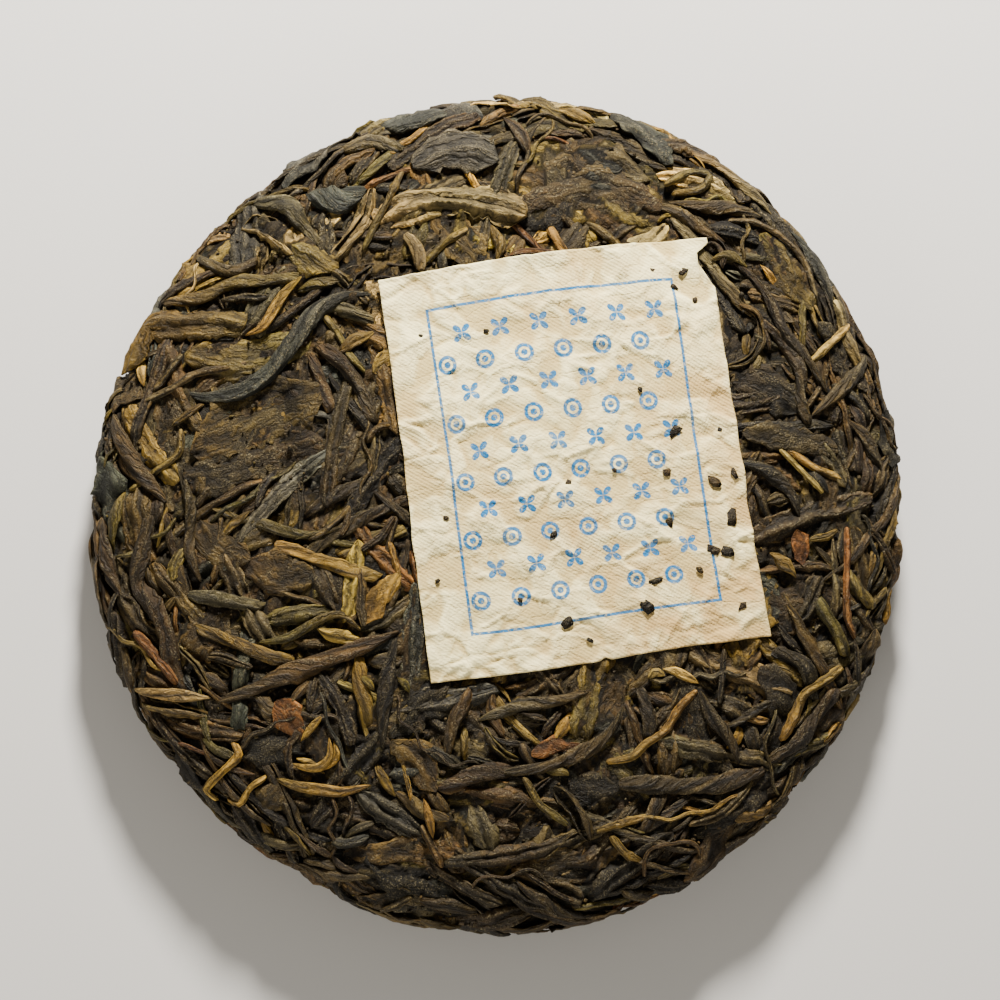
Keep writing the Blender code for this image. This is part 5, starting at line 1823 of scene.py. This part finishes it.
def paper_material():
    """Cream paper with stains, wrinkles and spots, its print, and the weave pressed into it."""
    n = Nodes("ticket_paper")
    uv = n.add("ShaderNodeUVMap", {"uv_map": "OFBake"}).outputs[0]
    place = n.vector("MULTIPLY", uv, (*TICKET_SIZE, 0))
    shares = n.add("ShaderNodeSeparateXYZ", {}, Vector=uv)
    metres = n.add("ShaderNodeSeparateXYZ", {}, Vector=place)
    share_across, share_up = shares.outputs[0], shares.outputs[1]
    east, north = metres.outputs[0], metres.outputs[1]
    broad, middle, fine = n.noise(place, 26, 3.0), n.noise(place, 120, 4.0), n.noise(place, 1400, 3.0)
    # The paper's colour by crease height: painted shade in the valleys and a painted highlight on the raised
    # creases.
    base = n.mix(n.ramp(n.attribute("Fold", "Fac"), -0.9, 0.45), PAPER_WITH_PAINTED_SHADE, PAPER_WITH_PAINTED_HIGHLIGHT)
    lower_right = n.times(n.ramp(share_across, 0.1, 1.0), n.ramp(share_up, 0.9, 0.0))
    stain = n.plus(n.ramp(broad, 0.42, 0.62, 0.0, 0.60), lower_right)
    stain = n.math("MULTIPLY", stain, n.ramp(middle, 0.34, 0.60, 0.15, 1.0), clamp=True)
    base = n.mix(stain, base, STAIN)
    squeezed = n.vector("MULTIPLY", place, (0.6, 1.0, 1.0))
    wrinkle = n.wrinkles(n.noise(squeezed, 230, 3.0, 0.5), 0.045)
    small_wrinkle = n.wrinkles(n.noise(squeezed, 520, 3.0, 0.5), 0.07)
    smooth = n.times(n.ramp(wrinkle, 0.0, 1.0, 0.80, 1.0), n.ramp(small_wrinkle, 0.0, 1.0, 0.88, 1.0))
    base = n.mix(n.minus(1.0, smooth), base, WRINKLE_SHADE)
    base = n.mix(n.ramp(n.noise(place, 420, 2.0), 0.70, 0.76, 0.0, 0.55), base, SPOT)
    ink = ticket_print(n, share_across, share_up, east, north)
    kept = n.ramp(n.noise(place, 1100, 2.0), 0.36, 0.46, 0.62, 1.0)
    kept = n.times(kept, n.ramp(middle, 0.35, 0.6, 0.90, 1.0))
    base = n.mix(n.times(ink, kept), base, INK)
    n.set(n.shader, "Base Color", base)
    n.shader.inputs["Roughness"].default_value = 0.88
    n.shader.inputs["Specular IOR Level"].default_value = 0.25
    height = n.plus(n.times(middle, 0.35), n.times(fine, 0.26))
    height = n.plus(n.times(pressed_weave(n, east, north, broad), 0.095), height)
    height = n.plus(height, n.plus(n.times(wrinkle, 0.26), n.times(small_wrinkle, 0.12)))
    n.bumped(height, 0.55, PAPER_BUMP)
    return n.material


ticket.data.materials.append(paper_material())
print("paper shader of", len(ticket.data.materials[0].node_tree.nodes), "nodes")

# %% [markdown]
# ## Whose piece is whose
#
# Every piece rides on the one body of the frame. The leaves, the crumbs and the pressed mass stand for the
# solid cake, and the paper with its chips stands for the solid ticket.

# %% Frame links
for piece in leaf_pieces + [mass_face, mass_back, crumbs]:
    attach(piece, "root")
    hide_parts("tea_cake")
for piece in (ticket, chips):
    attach(piece, "root")
    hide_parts("inner_ticket")
print("pieces for the cake", len(leaf_pieces) + 3, "and for the ticket", 2)

# %% [markdown]
# ## Floor and light
#
# The photograph's light comes from the top of the picture, low over the cake's face, so that each ridge
# casts a small shadow downwards. A small lamp does that here. A wide, weaker one stands low on the other
# side, and a pale sky opens the shadows, so that the round edge can be read from every side.

# %% Studio
FLOOR_SIZE = 6.0
FLOOR_GAP = 0.3 * MM
FLOOR_SHADE = (0.62, 0.61, 0.59, 1)
SKY_SHADE = (1.0, 0.95, 0.87, 1)
SKY_STRENGTH = 0.26

floor_mesh = bpy.data.meshes.new("floor")
plane = bmesh.new()
bmesh.ops.create_grid(plane, x_segments=1, y_segments=1, size=FLOOR_SIZE / 2)
bmesh.ops.translate(plane, verts=plane.verts, vec=(0, 0, -FLOOR_GAP))
plane.to_mesh(floor_mesh)
plane.free()
floor = new_object("floor", floor_mesh)
floor_look = Nodes("floor")
floor_look.shader.inputs["Base Color"].default_value = FLOOR_SHADE
floor_look.shader.inputs["Roughness"].default_value = 0.9
floor.data.materials.append(floor_look.material)
floor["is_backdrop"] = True


def lamp(name, place, size, power, colour):
    """A round soft lamp that points at the cake."""
    light = bpy.data.lights.new(name, "AREA")
    light.shape, light.size, light.energy, light.color = "DISK", size, power, colour
    made = bpy.data.objects.new(name, light)
    made.location = place
    made.rotation_euler = (Vector(place) - Vector((0, 0, 0.01))).to_track_quat("Z", "Y").to_euler()
    bpy.context.scene.collection.objects.link(made)
    return made


lamp("key", (0.03, 0.60, 0.36), 0.12, 22.0, (1.0, 0.95, 0.87))
lamp("fill", (-0.35, -0.95, 0.26), 0.8, 11.0, (1.0, 0.94, 0.84))
world = bpy.data.worlds.new("studio")
world.use_nodes = True
sky = world.node_tree.nodes["Background"]
sky.inputs["Color"].default_value = SKY_SHADE
sky.inputs["Strength"].default_value = SKY_STRENGTH
bpy.context.scene.world = world

# %% [markdown]
# ## The size, and the end
#
# The box of the finished pieces is printed.

# %% Size
low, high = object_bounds()
print("visual size in mm", [round(1000 * n, 1) for n in high - low])
